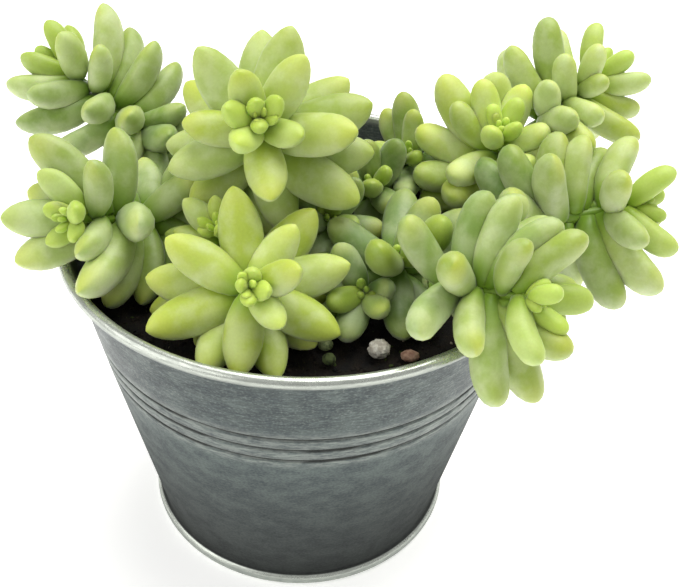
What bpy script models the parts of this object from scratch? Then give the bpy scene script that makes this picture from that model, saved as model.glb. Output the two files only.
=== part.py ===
"""Burro's tail (a trailing stonecrop) in a galvanised steel pot.

The frame is metres, +Z up. The pot stands on Z = 0 with its axis upright, and the whole plant
is moved at the end so that the middle of its footprint lies on the origin.

Pieces: the turned pot wall with its rolled rim and base bead, the pressed base disc, the
potting soil with a few loose granules on it, and fourteen shoots. Each shoot is a bare woody
stem planted in the soil and, at its end, a leafy head whose plump leaves grow from one
fleshy green axis. Crowded leaves lean apart until they no longer cross.
"""

import math
from collections import namedtuple

import bmesh
import bpy
import numpy as np
from mathutils import Matrix, Vector

MM = 0.001
GAP = 0.0003

# Pot: galvanised sheet, turned
RIM_RADIUS = 0.0650
RIM_ROLL = 0.0015
POT_HEIGHT = 0.0985
WALL_TOP_RADIUS = 0.0625
WALL_FOOT_RADIUS = 0.0447
SHEET = 0.0008
BEAD_RADIUS = 0.0461
BEAD_ROLL = 0.0022
GROOVE_HEIGHTS = (0.0642, 0.0686, 0.0730)
GROOVE_DEPTH = 0.0006
GROOVE_HALF_WIDTH = 0.0008
POT_SEGMENTS = 32

# Base disc, soil and what lies on it
BASE_HEIGHT = 0.0020
BASE_THICKNESS = 0.0008
SOIL_LEVEL = 0.0860
SOIL_CROWN = 0.0015
PLANTED_DEPTH = 0.0060

# Leaves and stems
LEAF_SIDES = 6
LEAF_RINGS = 3
LEAF_NECK = 0.05
LEAF_TIPWARD = 1.15
LEAF_FULLNESS = 2.5
LEAF_ROUNDNESS = 0.52
FULL_LEAF_LENGTH = 24.0
FULL_LEAF_WIDTH = 11.8
WIDTH_POWER = 0.7
LEAF_FLATNESS = 0.78
LEAF_BEND = math.radians(32)
LAST_RING = 0.88
HEAD_TIP_GIRTH = 0.9
HEAD_FOOT_GIRTH = 2.2
HEAD_SIDES = 8
HEAD_FOOT = 4.0
STEM_RADIUS = 0.0019
STEM_SIDES = 6
STEM_EASE = 0.5
SLEEVE_START = 0.00003
CRUMB = 1e-10

# How crowded leaves make room: checked at these shares of a leaf's length
PROBES = (0.30, 0.45, 0.60, 0.75, 0.90)
PROBE_GIRTH = 0.96
ROOM = 0.0008
OWN_SHOOT_SHARE = 0.68
EASE_ROUNDS = 160
EASE_GAIN = 0.45
EASE_RETURN = 0.04

# Loose granules: place on the soil (mm), half-sizes (mm) and seed of the rough shape
GRANULES = {
    "granule_pale": ((20, -42), (3.3, 2.8, 2.5), 4),
    "granule_brown": ((28, -42.5), (2.6, 1.9, 1.5), 9),
    "granule_grey": ((7.5, -40.5), (2.0, 1.9, 1.7), 14),
    "granule_dark": ((8.5, -45.5), (2.0, 1.7, 1.5), 21),
}

Shoot = namedtuple("Shoot", "tip heading rise spacing plump root leaves")

# Each shoot: the growing tip (mm), the heading and rise of its axis (degrees), the spacing of
# leaves down the axis (mm), how plump its leaves are, and where its stem is planted (mm).
# Each leaf, from the youngest down: turn about the axis and lean away from it (degrees),
# then length (mm). Turn 0 is the upper side of the axis.
SHOOTS = {
    "left_back": Shoot(
        (-72, 38, 122), 155, 30, 1.2, 0.88, (-30, 20),
        (
            (75, 22, 8), (215, 30, 9), (355, 34, 14), (290, 40, 15), (100, 38, 15),
            (25, 70, 18), (108, 40, 20), (180, 60, 18), (90, 70, 19), (235, 70, 20),
            (0, 75, 16), (325, 55, 25), (118, 60, 24), (60, 101, 20), (200, 90, 22),
            (306, 61, 24), (322, 79, 22), (270, 85, 22), (125, 72, 21), (42, 108, 20),
            (295, 84, 23), (170, 105, 20), (352, 124, 18), (90, 110, 20), (130, 100, 20),
            (30, 120, 20), (250, 100, 20), (75, 125, 20), (320, 115, 20), (150, 120, 18),
        ),
    ),
    "left_front": Shoot(
        (-55, -27, 113), 228, 26, 1.15, 0.92, (-34, 0),
        (
            (55, 60, 9), (110, 60, 8), (265, 37, 8), (200, 47, 10), (302, 55, 15),
            (242, 36, 20), (12, 64, 17), (274, 64, 19), (116, 45, 17), (200, 46, 23),
            (304, 51, 26), (245, 82, 22), (341, 85, 22), (70, 61, 21), (140, 46, 28),
            (217, 78, 18), (161, 76, 23), (282, 99, 22), (180, 77, 22), (25, 125, 18),
            (150, 86, 22), (308, 125, 20), (95, 112, 22), (340, 125, 20), (60, 118, 20),
            (150, 115, 20), (20, 112, 18),
        ),
    ),
    "middle_tall": Shoot(
        (-10, -18, 137), 275, 48, 1.0, 0.96, (-9, 6),
        (
            (180, 39, 6), (340, 10, 7), (57, 27, 9), (266, 32, 12), (220, 39, 13),
            (118, 55, 13), (326, 30, 16), (32, 67, 20), (182, 73, 20), (270, 84, 18),
            (92, 76, 24), (20, 65, 26), (251, 90, 23), (323, 67, 25), (75, 78, 28),
            (2, 79, 27), (150, 100, 23), (280, 118, 25), (124, 95, 28), (60, 77, 27),
            (304, 96, 26), (225, 100, 22), (96, 90, 28), (25, 105, 24), (180, 112, 23),
            (340, 110, 24), (100, 100, 26), (248, 127, 24), (150, 120, 24), (60, 115, 24),
            (210, 125, 23), (90, 125, 24), (300, 120, 22), (132, 138, 22),
        ),
    ),
    "front": Shoot(
        (-10, -47, 110), 275, 42, 1.0, 0.90, (-8, -20),
        (
            (281, 18, 5), (168, 33, 6), (109, 28, 8), (20, 25, 7), (140, 60, 13),
            (74, 44, 16), (189, 78, 20), (36, 82, 18), (302, 80, 22), (115, 86, 23),
            (0, 80, 24), (251, 85, 25), (85, 88, 24), (168, 93, 22), (270, 91, 24),
            (29, 98, 25), (208, 89, 23), (266, 105, 24), (140, 105, 20), (330, 108, 22),
            (190, 122, 18), (295, 112, 22), (95, 115, 20),
        ),
    ),
    "front_young": Shoot(
        (-20, -24, 110), 240, 60, 1.0, 0.9, (-18, -10),
        (
            (100, 33, 5), (236, 58, 5), (323, 50, 9), (9, 68, 8), (292, 52, 13),
            (246, 68, 12), (90, 80, 10), (245, 84, 16), (200, 87, 14), (330, 95, 14),
        ),
    ),
    "low_right": Shoot(
        (25, -22, 102), 290, 64, 0.9, 0.9, (22, -14),
        (
            (104, 16, 20), (237, 42, 19), (41, 56, 18), (24, 86, 22), (207, 95, 20),
            (320, 83, 20), (68, 68, 24), (140, 90, 19), (266, 95, 22), (100, 90, 22),
        ),
    ),
    "right_inner": Shoot(
        (51, 14, 120), 275, 70, 1.1, 0.88, (49, 26),
        (
            (335, 50, 7), (142, 29, 9), (38, 46, 11), (217, 34, 12), (345, 58, 17),
            (95, 73, 15), (50, 51, 18), (314, 64, 17), (213, 65, 19), (72, 80, 19),
            (325, 57, 26), (290, 82, 22), (144, 72, 20), (350, 46, 25), (226, 68, 22),
            (261, 97, 22), (0, 48, 24), (180, 95, 20), (210, 105, 20), (250, 105, 20),
            (314, 95, 22),
        ),
    ),
    "back_inner": Shoot(
        (28, 25, 105), 240, 58, 1.2, 0.8, (33, 35),
        (
            (114, 35, 10), (195, 40, 15), (337, 70, 14), (262, 60, 12), (184, 61, 18),
            (328, 57, 21), (60, 70, 18), (316, 61, 20), (110, 85, 18), (240, 90, 18),
        ),
    ),
    "right_back": Shoot(
        (82, 41, 125), 38, 24, 1.05, 0.8, (56, 5),
        (
            (87, 23, 10), (200, 30, 10), (310, 40, 12), (38, 45, 16), (265, 44, 16),
            (140, 50, 16), (343, 75, 15), (230, 55, 17), (312, 80, 12), (60, 60, 20),
            (240, 76, 21), (180, 70, 20), (359, 89, 17), (292, 103, 18), (30, 66, 24),
            (117, 74, 22), (278, 116, 23), (210, 90, 20), (45, 88, 22), (348, 108, 19),
            (66, 71, 25), (150, 95, 20), (300, 118, 20),
        ),
    ),
    "right": Shoot(
        (87, -4, 110), 6, 12, 1.25, 0.88, (49, -6),
        (
            (100, 20, 8), (240, 37, 8), (5, 32, 14), (232, 51, 17), (150, 38, 16),
            (329, 91, 18), (271, 77, 17), (52, 55, 21), (228, 67, 25), (110, 65, 20),
            (180, 70, 20), (223, 78, 25), (73, 61, 24), (34, 82, 20), (140, 85, 22),
            (189, 88, 20), (350, 100, 22), (60, 95, 22), (20, 112, 23), (100, 100, 20),
            (325, 115, 22), (65, 118, 22),
        ),
    ),
    "right_front": Shoot(
        (53, -49, 112), -34, 16, 1.0, 0.80, (37, -22),
        (
            (334, 22, 9), (184, 40, 11), (116, 56, 17), (237, 54, 17), (50, 52, 20),
            (133, 63, 16), (186, 76, 27), (358, 59, 16), (122, 41, 19), (206, 93, 25),
            (181, 38, 22), (43, 56, 22), (39, 74, 22), (255, 66, 19), (62, 61, 24),
            (317, 75, 20), (90, 80, 20), (38, 82, 22), (274, 83, 22), (54, 71, 26),
            (150, 85, 20), (345, 105, 20),
        ),
    ),
    "low_middle": Shoot(
        (7, -4, 101), 285, 50, 0.9, 0.95, (6, 5),
        (
            (20, 25, 8), (155, 35, 10), (270, 45, 12), (40, 55, 14), (205, 62, 15),
            (330, 70, 16), (110, 72, 16), (245, 78, 17), (15, 84, 17),
        ),
    ),
    "low_back": Shoot(
        (18, 12, 103), 260, 60, 0.9, 0.95, (18, 17),
        (
            (80, 25, 8), (215, 30, 11), (345, 45, 13), (130, 55, 14), (260, 62, 16),
            (30, 70, 16), (185, 76, 17), (310, 80, 17), (90, 84, 17),
        ),
    ),
    "low_front": Shoot(
        (16, -31, 98), 265, 50, 0.8, 0.95, (16, -24),
        (
            (250, 45, 11), (115, 46, 11), (200, 62, 14), (320, 60, 14), (228, 82, 14),
            (80, 80, 11), (285, 70, 12),
        ),
    ),
}


# ---- materials -------------------------------------------------------------------------------


def make_material(name, colour, roughness, metallic=0.0):
    material = bpy.data.materials.new(name)
    material.use_nodes = True
    shader = material.node_tree.nodes["Principled BSDF"]
    shader.inputs["Base Color"].default_value = (*colour, 1.0)
    shader.inputs["Roughness"].default_value = roughness
    shader.inputs["Metallic"].default_value = metallic
    material.diffuse_color = (*colour, 1.0)
    return material


def make_materials():
    return {
        "galvanised": make_material("galvanised_steel", (0.42, 0.45, 0.46), 0.42, 1.0),
        "soil": make_material("potting_soil", (0.020, 0.016, 0.012), 0.95),
        "granule": make_material("pale_granule", (0.55, 0.50, 0.44), 0.9),
        "stem": make_material("woody_stem", (0.16, 0.13, 0.07), 0.8),
        "leaf": make_material("waxy_leaf", (0.36, 0.52, 0.12), 0.45),
    }


# ---- building blocks -------------------------------------------------------------------------


def add_object(name, mesh, material, parent):
    obj = bpy.data.objects.new(name, mesh)
    bpy.context.scene.collection.objects.link(obj)
    obj.data.materials.append(material)
    obj.parent = parent
    return obj


def shade_round(mesh, angle=40):
    mesh.shade_smooth()
    mesh.set_sharp_from_angle(angle=math.radians(angle))


def arc(centre, radius, start, end, count):
    """Points (radius, height) on an arc, angles in degrees, both ends included."""
    angles = np.radians(np.linspace(start, end, count))
    return [(centre[0] + radius * math.cos(a), centre[1] + radius * math.sin(a)) for a in angles]


def turned_mesh(name, outline, segments):
    """A closed outline of (radius, height) points spun round the Z axis."""
    mesh = bpy.data.meshes.new(name)
    builder = bmesh.new()
    ring = [builder.verts.new((radius, 0.0, height)) for radius, height in outline]
    edges = [builder.edges.new((a, b)) for a, b in zip(ring, ring[1:] + ring[:1])]
    bmesh.ops.spin(
        builder, geom=ring + edges, cent=(0, 0, 0), axis=(0, 0, 1),
        angle=2 * math.pi, steps=segments, use_merge=True,
    )
    bmesh.ops.recalc_face_normals(builder, faces=builder.faces)
    builder.to_mesh(mesh)
    builder.free()
    shade_round(mesh)
    return mesh


# ---- pot -------------------------------------------------------------------------------------


def wall_radius(height):
    """Outer radius of the tapered sheet at this height."""
    share = height / POT_HEIGHT
    return WALL_FOOT_RADIUS + (WALL_TOP_RADIUS - WALL_FOOT_RADIUS) * share


def wall_outline():
    """Section of the pot wall: bead, tapered sheet with its grooves, rolled rim, and back down."""
    bead = (BEAD_RADIUS - BEAD_ROLL, BEAD_ROLL)
    roll = (RIM_RADIUS - RIM_ROLL, POT_HEIGHT - RIM_ROLL)
    outline = [(bead[0] - 0.0008, 0.0), (bead[0] + 0.0008, 0.0)]
    outline += arc(bead, BEAD_ROLL, -50, 75, 5)
    for height in GROOVE_HEIGHTS:
        surface = wall_radius(height)
        outline.append((wall_radius(height - GROOVE_HALF_WIDTH), height - GROOVE_HALF_WIDTH))
        outline.append((surface - GROOVE_DEPTH, height))
        outline.append((wall_radius(height + GROOVE_HALF_WIDTH), height + GROOVE_HALF_WIDTH))
    outline += arc(roll, RIM_ROLL, -120, 170, 8)
    inner_top = POT_HEIGHT - 2.2 * RIM_ROLL
    outline.append((wall_radius(inner_top) - SHEET, inner_top))
    top_groove = GROOVE_HEIGHTS[-1] + 2 * GROOVE_HALF_WIDTH
    low_groove = GROOVE_HEIGHTS[0] - 2 * GROOVE_HALF_WIDTH
    inner_shift = SHEET + GROOVE_DEPTH
    outline.append((wall_radius(top_groove) - SHEET, top_groove))
    outline.append((wall_radius(GROOVE_HEIGHTS[-1]) - inner_shift, GROOVE_HEIGHTS[-1]))
    outline.append((wall_radius(GROOVE_HEIGHTS[0]) - inner_shift, GROOVE_HEIGHTS[0]))
    outline.append((wall_radius(low_groove) - SHEET, low_groove))
    inner_foot = 2 * BEAD_ROLL
    outline.append((wall_radius(inner_foot) - 2 * SHEET, inner_foot))
    outline.append((bead[0] - BEAD_ROLL, 0.6 * BEAD_ROLL))
    return outline


def inner_wall_radius(height):
    """Clear inner radius at this height, past the back of the grooves."""
    return wall_radius(height) - SHEET - GROOVE_DEPTH - GAP


def add_pot(materials, parent):
    wall = turned_mesh("pot_wall", wall_outline(), POT_SEGMENTS)
    add_object("pot_wall", wall, materials["galvanised"], parent)
    foot = BEAD_RADIUS - 2 * BEAD_ROLL - GAP
    top = BASE_HEIGHT + BASE_THICKNESS
    lip = 0.0010
    outline = [
        (0.0, BASE_HEIGHT), (foot - 0.0015, BASE_HEIGHT), (foot - 0.0015, BASE_HEIGHT - lip),
        (foot - 0.0003, BASE_HEIGHT - lip), (foot - 0.0003, top), (0.0, top),
    ]
    base = solid_of_revolution("pot_base", outline)
    add_object("pot_base", base, materials["galvanised"], parent)


def solid_of_revolution(name, outline):
    """Like turned_mesh, for an outline whose first and last points lie on the axis."""
    mesh = bpy.data.meshes.new(name)
    builder = bmesh.new()
    ring = [builder.verts.new((radius, 0.0, height)) for radius, height in outline]
    edges = [builder.edges.new((a, b)) for a, b in zip(ring, ring[1:])]
    bmesh.ops.spin(
        builder, geom=ring + edges, cent=(0, 0, 0), axis=(0, 0, 1),
        angle=2 * math.pi, steps=POT_SEGMENTS, use_merge=True,
    )
    bmesh.ops.remove_doubles(builder, verts=builder.verts, dist=1e-7)
    bmesh.ops.recalc_face_normals(builder, faces=builder.faces)
    builder.to_mesh(mesh)
    builder.free()
    shade_round(mesh)
    return mesh


# ---- plant layout ----------------------------------------------------------------------------


def unit(vectors):
    return vectors / np.linalg.norm(vectors, axis=-1, keepdims=True)


def shoot_frame(shoot):
    """Axis of a shoot, its level side and its upper side, as unit vectors."""
    heading, rise = math.radians(shoot.heading), math.radians(shoot.rise)
    level = math.cos(rise)
    axis = np.array((level * math.cos(heading), level * math.sin(heading), math.sin(rise)))
    side = unit(np.cross((0.0, 0.0, 1.0), axis))
    return axis, side, np.cross(axis, side)


def head_length(shoot):
    """Length of the fleshy axis that carries the leaves."""
    return (len(shoot.leaves) * shoot.spacing + HEAD_FOOT) * MM


def head_girth(shoot, back):
    share = back / head_length(shoot)
    return (HEAD_TIP_GIRTH + (HEAD_FOOT_GIRTH - HEAD_TIP_GIRTH) * min(share, 1.0)) * MM


def stem_route(shoot, count=7):
    """Middle line of the bare stem: from under the leafy head it bends down into the soil."""
    axis = shoot_frame(shoot)[0]
    start = np.array(shoot.tip) * MM - axis * (head_length(shoot) + GAP)
    end = np.array((*shoot.root, 0.0)) * MM
    end[2] = SOIL_LEVEL + 0.001
    reach = np.linalg.norm(end - start)
    points = []
    for share in np.linspace(0.0, 1.0, count):
        ease = 3 * share**2 - 2 * share**3
        leave = STEM_EASE * (share**3 - 2 * share**2 + share)
        arrive = share**3 - share**2
        down = np.array((0.0, 0.0, -1.0))
        points.append(
            start + (end - start) * ease - axis * reach * leave + down * reach * arrive
        )
    foot = end.copy()
    foot[2] = SOIL_LEVEL - PLANTED_DEPTH
    return np.array(points + [foot])


def leaf_half_width(share):
    """Half-width at this share of a leaf's length, as a share of its greatest half-width."""
    place = LEAF_NECK + (1 - LEAF_NECK) * share**LEAF_TIPWARD
    return (1 - abs(2 * place - 1) ** LEAF_FULLNESS) ** LEAF_ROUNDNESS


def planned_leaves():
    """All leaves as arrays: shoot number, base point, direction, axis, length and half-width."""
    rows = []
    for number, shoot in enumerate(SHOOTS.values()):
        axis, side, top = shoot_frame(shoot)
        for place, (turn, lean, length) in enumerate(shoot.leaves):
            turn, lean = math.radians(turn), math.radians(lean)
            outward = top * math.cos(turn) + side * math.sin(turn)
            back = (place + 0.5) * shoot.spacing * MM
            base = np.array(shoot.tip) * MM - axis * back
            base = base + outward * head_girth(shoot, back) * 0.4
            direction = axis * math.cos(lean) + outward * math.sin(lean)
            width = FULL_LEAF_WIDTH * (length / FULL_LEAF_LENGTH) ** WIDTH_POWER * shoot.plump
            rows.append((number, base, direction, axis, length * MM, 0.5 * width * MM))
    return [np.array(column) for column in zip(*rows)]


def inward_normals(directions, axes):
    """The upper side of each leaf: square to it, turned towards the axis of its shoot."""
    along = (directions * axes).sum(axis=-1, keepdims=True)
    return unit(axes - directions * along)


def bowed(bases, directions, inward, lengths, share):
    """Points on the bowed middle lines at this share of the length, and the slope there."""
    slope = LEAF_BEND * (share - 0.5)
    radius = lengths / (2 * math.sin(LEAF_BEND / 2))
    along = lengths / 2 + radius * math.sin(slope)
    sag = radius * (math.cos(slope) - math.cos(LEAF_BEND / 2))
    return bases + directions * along[..., None] - inward * sag[..., None], slope


def fixed_obstacles():
    """Points on the leafy axes, bare stems and rolled rim that leaves make room for."""
    owners, centres, radii = [], [], []
    for number, shoot in enumerate(SHOOTS.values()):
        axis = shoot_frame(shoot)[0]
        for back in np.arange(0.0, head_length(shoot), 2 * MM):
            owners.append(number)
            centres.append(np.array(shoot.tip) * MM - axis * back)
            radii.append(head_girth(shoot, back))
        for place, point in enumerate(stem_route(shoot, 13)):
            owners.append(-1 if place > 1 else number)
            centres.append(point)
            radii.append(STEM_RADIUS)
    roll = RIM_RADIUS - RIM_ROLL
    for turn in np.radians(np.arange(0, 360, 2.5)):
        owners.append(-1)
        centres.append((roll * math.cos(turn), roll * math.sin(turn), POT_HEIGHT - RIM_ROLL))
        radii.append(RIM_ROLL)
    return np.array(owners), np.array(centres), np.array(radii)


def wall_and_soil_push(centres, radii):
    """How far each probe must move to stay off the pot wall and above the soil."""
    push = np.zeros_like(centres)
    spread = np.hypot(centres[:, 0], centres[:, 1])
    below_rim = centres[:, 2] < POT_HEIGHT
    wall = WALL_FOOT_RADIUS + (WALL_TOP_RADIUS - WALL_FOOT_RADIUS) * centres[:, 2] / POT_HEIGHT
    beyond = spread - wall
    inside = below_rim & (beyond < 0)
    outside = below_rim & (beyond >= 0)
    inner_clear = np.maximum(radii + SHEET + ROOM - (wall - spread), 0) * inside
    outer_clear = np.maximum(radii + ROOM - beyond, 0) * outside
    outward = centres[:, :2] / np.maximum(spread, 1e-6)[:, None]
    push[:, :2] = outward * (outer_clear - inner_clear)[:, None]
    over_soil = inside | ((spread < RIM_RADIUS) & ~below_rim)
    push[:, 2] = np.maximum(SOIL_LEVEL + SOIL_CROWN + radii + ROOM - centres[:, 2], 0) * over_soil
    return push


def eased_directions(owners, bases, directions, axes, lengths, half_widths):
    """Leans crowded leaves apart, as leaves that grow against each other do."""
    shares = np.array(PROBES)
    girths = half_widths[:, None] * leaf_half_width(shares)[None] * PROBE_GIRTH
    radii = girths.ravel()
    probe_owner = np.repeat(owners, len(shares))
    leaf_of = np.repeat(np.arange(len(owners)), len(shares))
    same_leaf = leaf_of[:, None] == leaf_of[None]
    same_shoot = probe_owner[:, None] == probe_owner[None]
    reach = radii[:, None] + radii[None]
    reach = np.where(same_shoot, reach * OWN_SHOOT_SHARE, reach + ROOM)
    reach[same_leaf] = 0
    fixed_owner, fixed, fixed_radii = fixed_obstacles()
    fixed_reach = radii[:, None] + fixed_radii[None] + ROOM
    fixed_reach[probe_owner[:, None] == fixed_owner[None]] = 0
    wished = directions.copy()
    for _ in range(EASE_ROUNDS):
        inward = inward_normals(directions, axes)
        rows = [bowed(bases, directions, inward, lengths, share)[0] for share in shares]
        centres = np.stack(rows, axis=1).reshape(-1, 3)
        apart = centres[:, None] - centres[None]
        distance = np.linalg.norm(apart, axis=2) + 1e-9
        press = np.maximum(reach - distance, 0) / distance * 0.5
        push = (apart * press[..., None]).sum(axis=1)
        apart = centres[:, None] - fixed[None]
        distance = np.linalg.norm(apart, axis=2) + 1e-9
        press = np.maximum(fixed_reach - distance, 0) / distance
        push += (apart * press[..., None]).sum(axis=1)
        push += wall_and_soil_push(centres, radii)
        turning = (push.reshape(len(owners), -1, 3) * shares[None, :, None]).sum(axis=1)
        directions = directions + EASE_GAIN * turning / lengths[:, None]
        directions = unit(directions + EASE_RETURN * (wished - directions))
    return directions


# ---- plant meshes ----------------------------------------------------------------------------


def add_ring(builder, centre, across, up, half_width, half_depth, sides):
    ring = []
    for step in range(sides):
        angle = 2 * math.pi * step / sides
        offset = across * (half_width * math.cos(angle)) + up * (half_depth * math.sin(angle))
        ring.append(builder.verts.new(Vector(centre + offset)))
    return ring


def bridge_rings(builder, lower, upper):
    count = len(lower)
    for step in range(count):
        after = (step + 1) % count
        builder.faces.new((lower[step], lower[after], upper[after], upper[step]))


def add_leaf(builder, base, direction, axis, length, half_width):
    """A plump leaf: a capped neck, bowed oval sections and a blunt point."""
    inward = inward_normals(direction, axis)
    across = np.cross(direction, inward)
    widen = 1 / math.cos(math.pi / LEAF_SIDES) ** 0.5
    previous = None
    for share in np.linspace(0.0, LAST_RING, LEAF_RINGS):
        centre, slope = bowed(base, direction, inward, np.array(length), share)
        up = inward * math.cos(slope) - direction * math.sin(slope)
        half = half_width * leaf_half_width(share) * widen
        ring = add_ring(builder, centre, across, up, half, half * LEAF_FLATNESS, LEAF_SIDES)
        if previous:
            bridge_rings(builder, previous, ring)
        else:
            builder.faces.new(ring[::-1])
        previous = ring
    point = builder.verts.new(Vector(base + direction * length))
    for step in range(LEAF_SIDES):
        builder.faces.new((previous[step], previous[(step + 1) % LEAF_SIDES], point))


def add_tube(builder, points, radii, sides):
    """A round tube with flat ends along a list of points."""
    points = np.array(points)
    tangents = unit(np.gradient(points, axis=0))
    across = unit(np.cross(tangents[0], (0.31, 0.82, 0.47)))
    previous = None
    for point, tangent, radius in zip(points, tangents, radii):
        across = unit(across - tangent * (across @ tangent))
        up = np.cross(tangent, across)
        ring = add_ring(builder, point, across, up, radius, radius, sides)
        if previous:
            bridge_rings(builder, previous, ring)
        else:
            builder.faces.new(ring[::-1])
        previous = ring
    builder.faces.new(previous)


def finish_mesh(builder, name):
    bmesh.ops.recalc_face_normals(builder, faces=builder.faces)
    mesh = bpy.data.meshes.new(name)
    builder.to_mesh(mesh)
    builder.free()
    shade_round(mesh)
    return mesh


def helper_object(name, mesh):
    """A shape that only cuts or joins: drawn as wire, and not part of the model."""
    obj = bpy.data.objects.new(name, mesh)
    bpy.context.scene.collection.objects.link(obj)
    obj.hide_render = True
    obj.display_type = "WIRE"
    return obj


def add_boolean(obj, other, operation, tangled=False):
    modifier = obj.modifiers.new(operation.lower(), "BOOLEAN")
    modifier.operation = operation
    modifier.object = other
    modifier.solver = "EXACT"
    modifier.use_self = tangled


def face_islands(builder):
    """Groups of faces that hang together."""
    waiting = set(builder.faces)
    while waiting:
        island, edge = [], [waiting.pop()]
        while edge:
            face = edge.pop()
            island.append(face)
            touching = {other for side in face.edges for other in side.link_faces} & waiting
            waiting -= touching
            edge.extend(touching)
        yield island


def signed_volume(faces):
    """Volume that triangles enclose, negative round a pocket."""
    total = 0.0
    for face in faces:
        first, second, third = (vertex.co for vertex in face.verts)
        total += first.dot(second.cross(third))
    return total / 6


def outer_skin(name, obj):
    """The joined mesh without the pockets that leaves close between them, or crumbs."""
    graph = bpy.context.evaluated_depsgraph_get()
    mesh = bpy.data.meshes.new_from_object(obj.evaluated_get(graph))
    mesh.name = name
    builder = bmesh.new()
    builder.from_mesh(mesh)
    bmesh.ops.triangulate(builder, faces=builder.faces)
    islands = sorted(face_islands(builder), key=signed_volume)
    if sum(signed_volume(island) > CRUMB for island in islands) != 1:
        raise ValueError(name + " isn't one body")
    spare = [face for island in islands[:-1] for face in island]
    bmesh.ops.delete(builder, geom=spare, context="FACES")
    builder.to_mesh(mesh)
    builder.free()
    shade_round(mesh)
    return mesh


def add_head(name, shoot, leaves, materials, parent):
    """One leafy head: the fleshy axis with all of its leaves grown onto it."""
    axis = shoot_frame(shoot)[0]
    length = head_length(shoot)
    backs = np.linspace(0.0, length, 5)
    points = [np.array(shoot.tip) * MM - axis * back for back in backs]
    builder = bmesh.new()
    add_tube(builder, points, [head_girth(shoot, back) for back in backs], HEAD_SIDES)
    core = helper_object("core", finish_mesh(builder, "core"))
    builder = bmesh.new()
    for leaf in leaves:
        add_leaf(builder, *leaf)
    crown = helper_object("crown", finish_mesh(builder, "crown"))
    add_boolean(core, crown, "UNION", tangled=True)
    route = stem_route(shoot)
    route[0] += axis * (GAP - SLEEVE_START)
    builder = bmesh.new()
    add_tube(builder, route, [STEM_RADIUS + GAP] * len(route), STEM_SIDES)
    sleeve = helper_object("sleeve", finish_mesh(builder, "sleeve"))
    add_boolean(core, sleeve, "DIFFERENCE")
    mesh = outer_skin("leaves_" + name, core)
    for helper in (core, crown, sleeve):
        bpy.data.objects.remove(helper)
    add_object("leaves_" + name, mesh, materials["leaf"], parent)


def add_stem(name, shoot, materials, parent):
    points = stem_route(shoot)
    builder = bmesh.new()
    add_tube(builder, points, [STEM_RADIUS] * len(points), STEM_SIDES)
    add_object("stem_" + name, finish_mesh(builder, "stem_" + name), materials["stem"], parent)


def add_plant(materials, parent):
    owners, bases, directions, axes, lengths, half_widths = planned_leaves()
    directions = eased_directions(owners, bases, directions, axes, lengths, half_widths)
    for number, (name, shoot) in enumerate(SHOOTS.items()):
        mine = np.flatnonzero(owners == number)
        leaves = [(bases[i], directions[i], axes[i], lengths[i], half_widths[i]) for i in mine]
        add_head(name, shoot, leaves, materials, parent)
        add_stem(name, shoot, materials, parent)


# ---- soil ------------------------------------------------------------------------------------


def add_soil(materials, parent):
    """Packed soil that fills the pot, with a socket around each planted stem."""
    floor = BASE_HEIGHT + BASE_THICKNESS + GAP
    foot = BEAD_RADIUS - 2 * BEAD_ROLL - GAP
    shoulder = 0.0050
    edge = inner_wall_radius(SOIL_LEVEL)
    outline = [
        (0.0, floor), (foot, floor), (inner_wall_radius(shoulder), shoulder),
        (edge, SOIL_LEVEL), (edge * 0.7, SOIL_LEVEL + 0.6 * SOIL_CROWN),
        (0.0, SOIL_LEVEL + SOIL_CROWN),
    ]
    mesh = solid_of_revolution("soil", outline)
    soil = add_object("soil", mesh, materials["soil"], parent)
    builder = bmesh.new()
    for shoot in SHOOTS.values():
        foot_point = np.array((*shoot.root, 0.0)) * MM
        low, high = foot_point.copy(), foot_point.copy()
        low[2] = SOIL_LEVEL - PLANTED_DEPTH - GAP
        high[2] = SOIL_LEVEL + 4 * SOIL_CROWN
        add_tube(builder, [low, high], [STEM_RADIUS + GAP] * 2, STEM_SIDES)
    sockets = helper_object("stem_sockets", finish_mesh(builder, "stem_sockets"))
    sockets.parent = parent
    add_boolean(soil, sockets, "DIFFERENCE")


def soil_surface(x, y):
    """Height of the soil at a point, between the rings of its outline."""
    edge = inner_wall_radius(SOIL_LEVEL)
    spread = math.hypot(x, y) / edge
    if spread > 0.7:
        return SOIL_LEVEL + 0.6 * SOIL_CROWN * (1 - spread) / 0.3
    return SOIL_LEVEL + SOIL_CROWN * (1 - 0.4 * spread / 0.7)


def add_granule(name, place, size, seed, materials, parent):
    """A rough pebble that lies on the soil."""
    chance = np.random.default_rng(seed)
    builder = bmesh.new()
    bmesh.ops.create_icosphere(builder, subdivisions=1, radius=1.0)
    for vertex in builder.verts:
        vertex.co *= 1 + 0.22 * chance.uniform(-1, 1)
    lowest = min(vertex.co.z for vertex in builder.verts) * size[2] * MM
    mesh = finish_mesh(builder, name)
    mesh.transform(Matrix.Diagonal((*(half * MM for half in size), 1.0)))
    obj = add_object(name, mesh, materials["granule"], parent)
    x, y = place[0] * MM, place[1] * MM
    obj.location = (x, y, soil_surface(x, y) - lowest + GAP)


def centre_footprint(parent):
    """Moves the plant so that the middle of its footprint lies on the origin."""
    bpy.context.view_layer.update()
    corners = [
        obj.matrix_world @ Vector(corner)
        for obj in parent.children if not obj.hide_render
        for corner in obj.bound_box
    ]
    for index in (0, 1):
        spots = [corner[index] for corner in corners]
        parent.location[index] = -0.5 * (min(spots) + max(spots))


def main():
    for obj in list(bpy.data.objects):
        bpy.data.objects.remove(obj, do_unlink=True)
    materials = make_materials()
    parent = bpy.data.objects.new("potted_burros_tail", None)
    bpy.context.scene.collection.objects.link(parent)
    add_pot(materials, parent)
    add_soil(materials, parent)
    for name, (place, size, seed) in GRANULES.items():
        add_granule(name, place, size, seed, materials, parent)
    add_plant(materials, parent)
    centre_footprint(parent)


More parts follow.
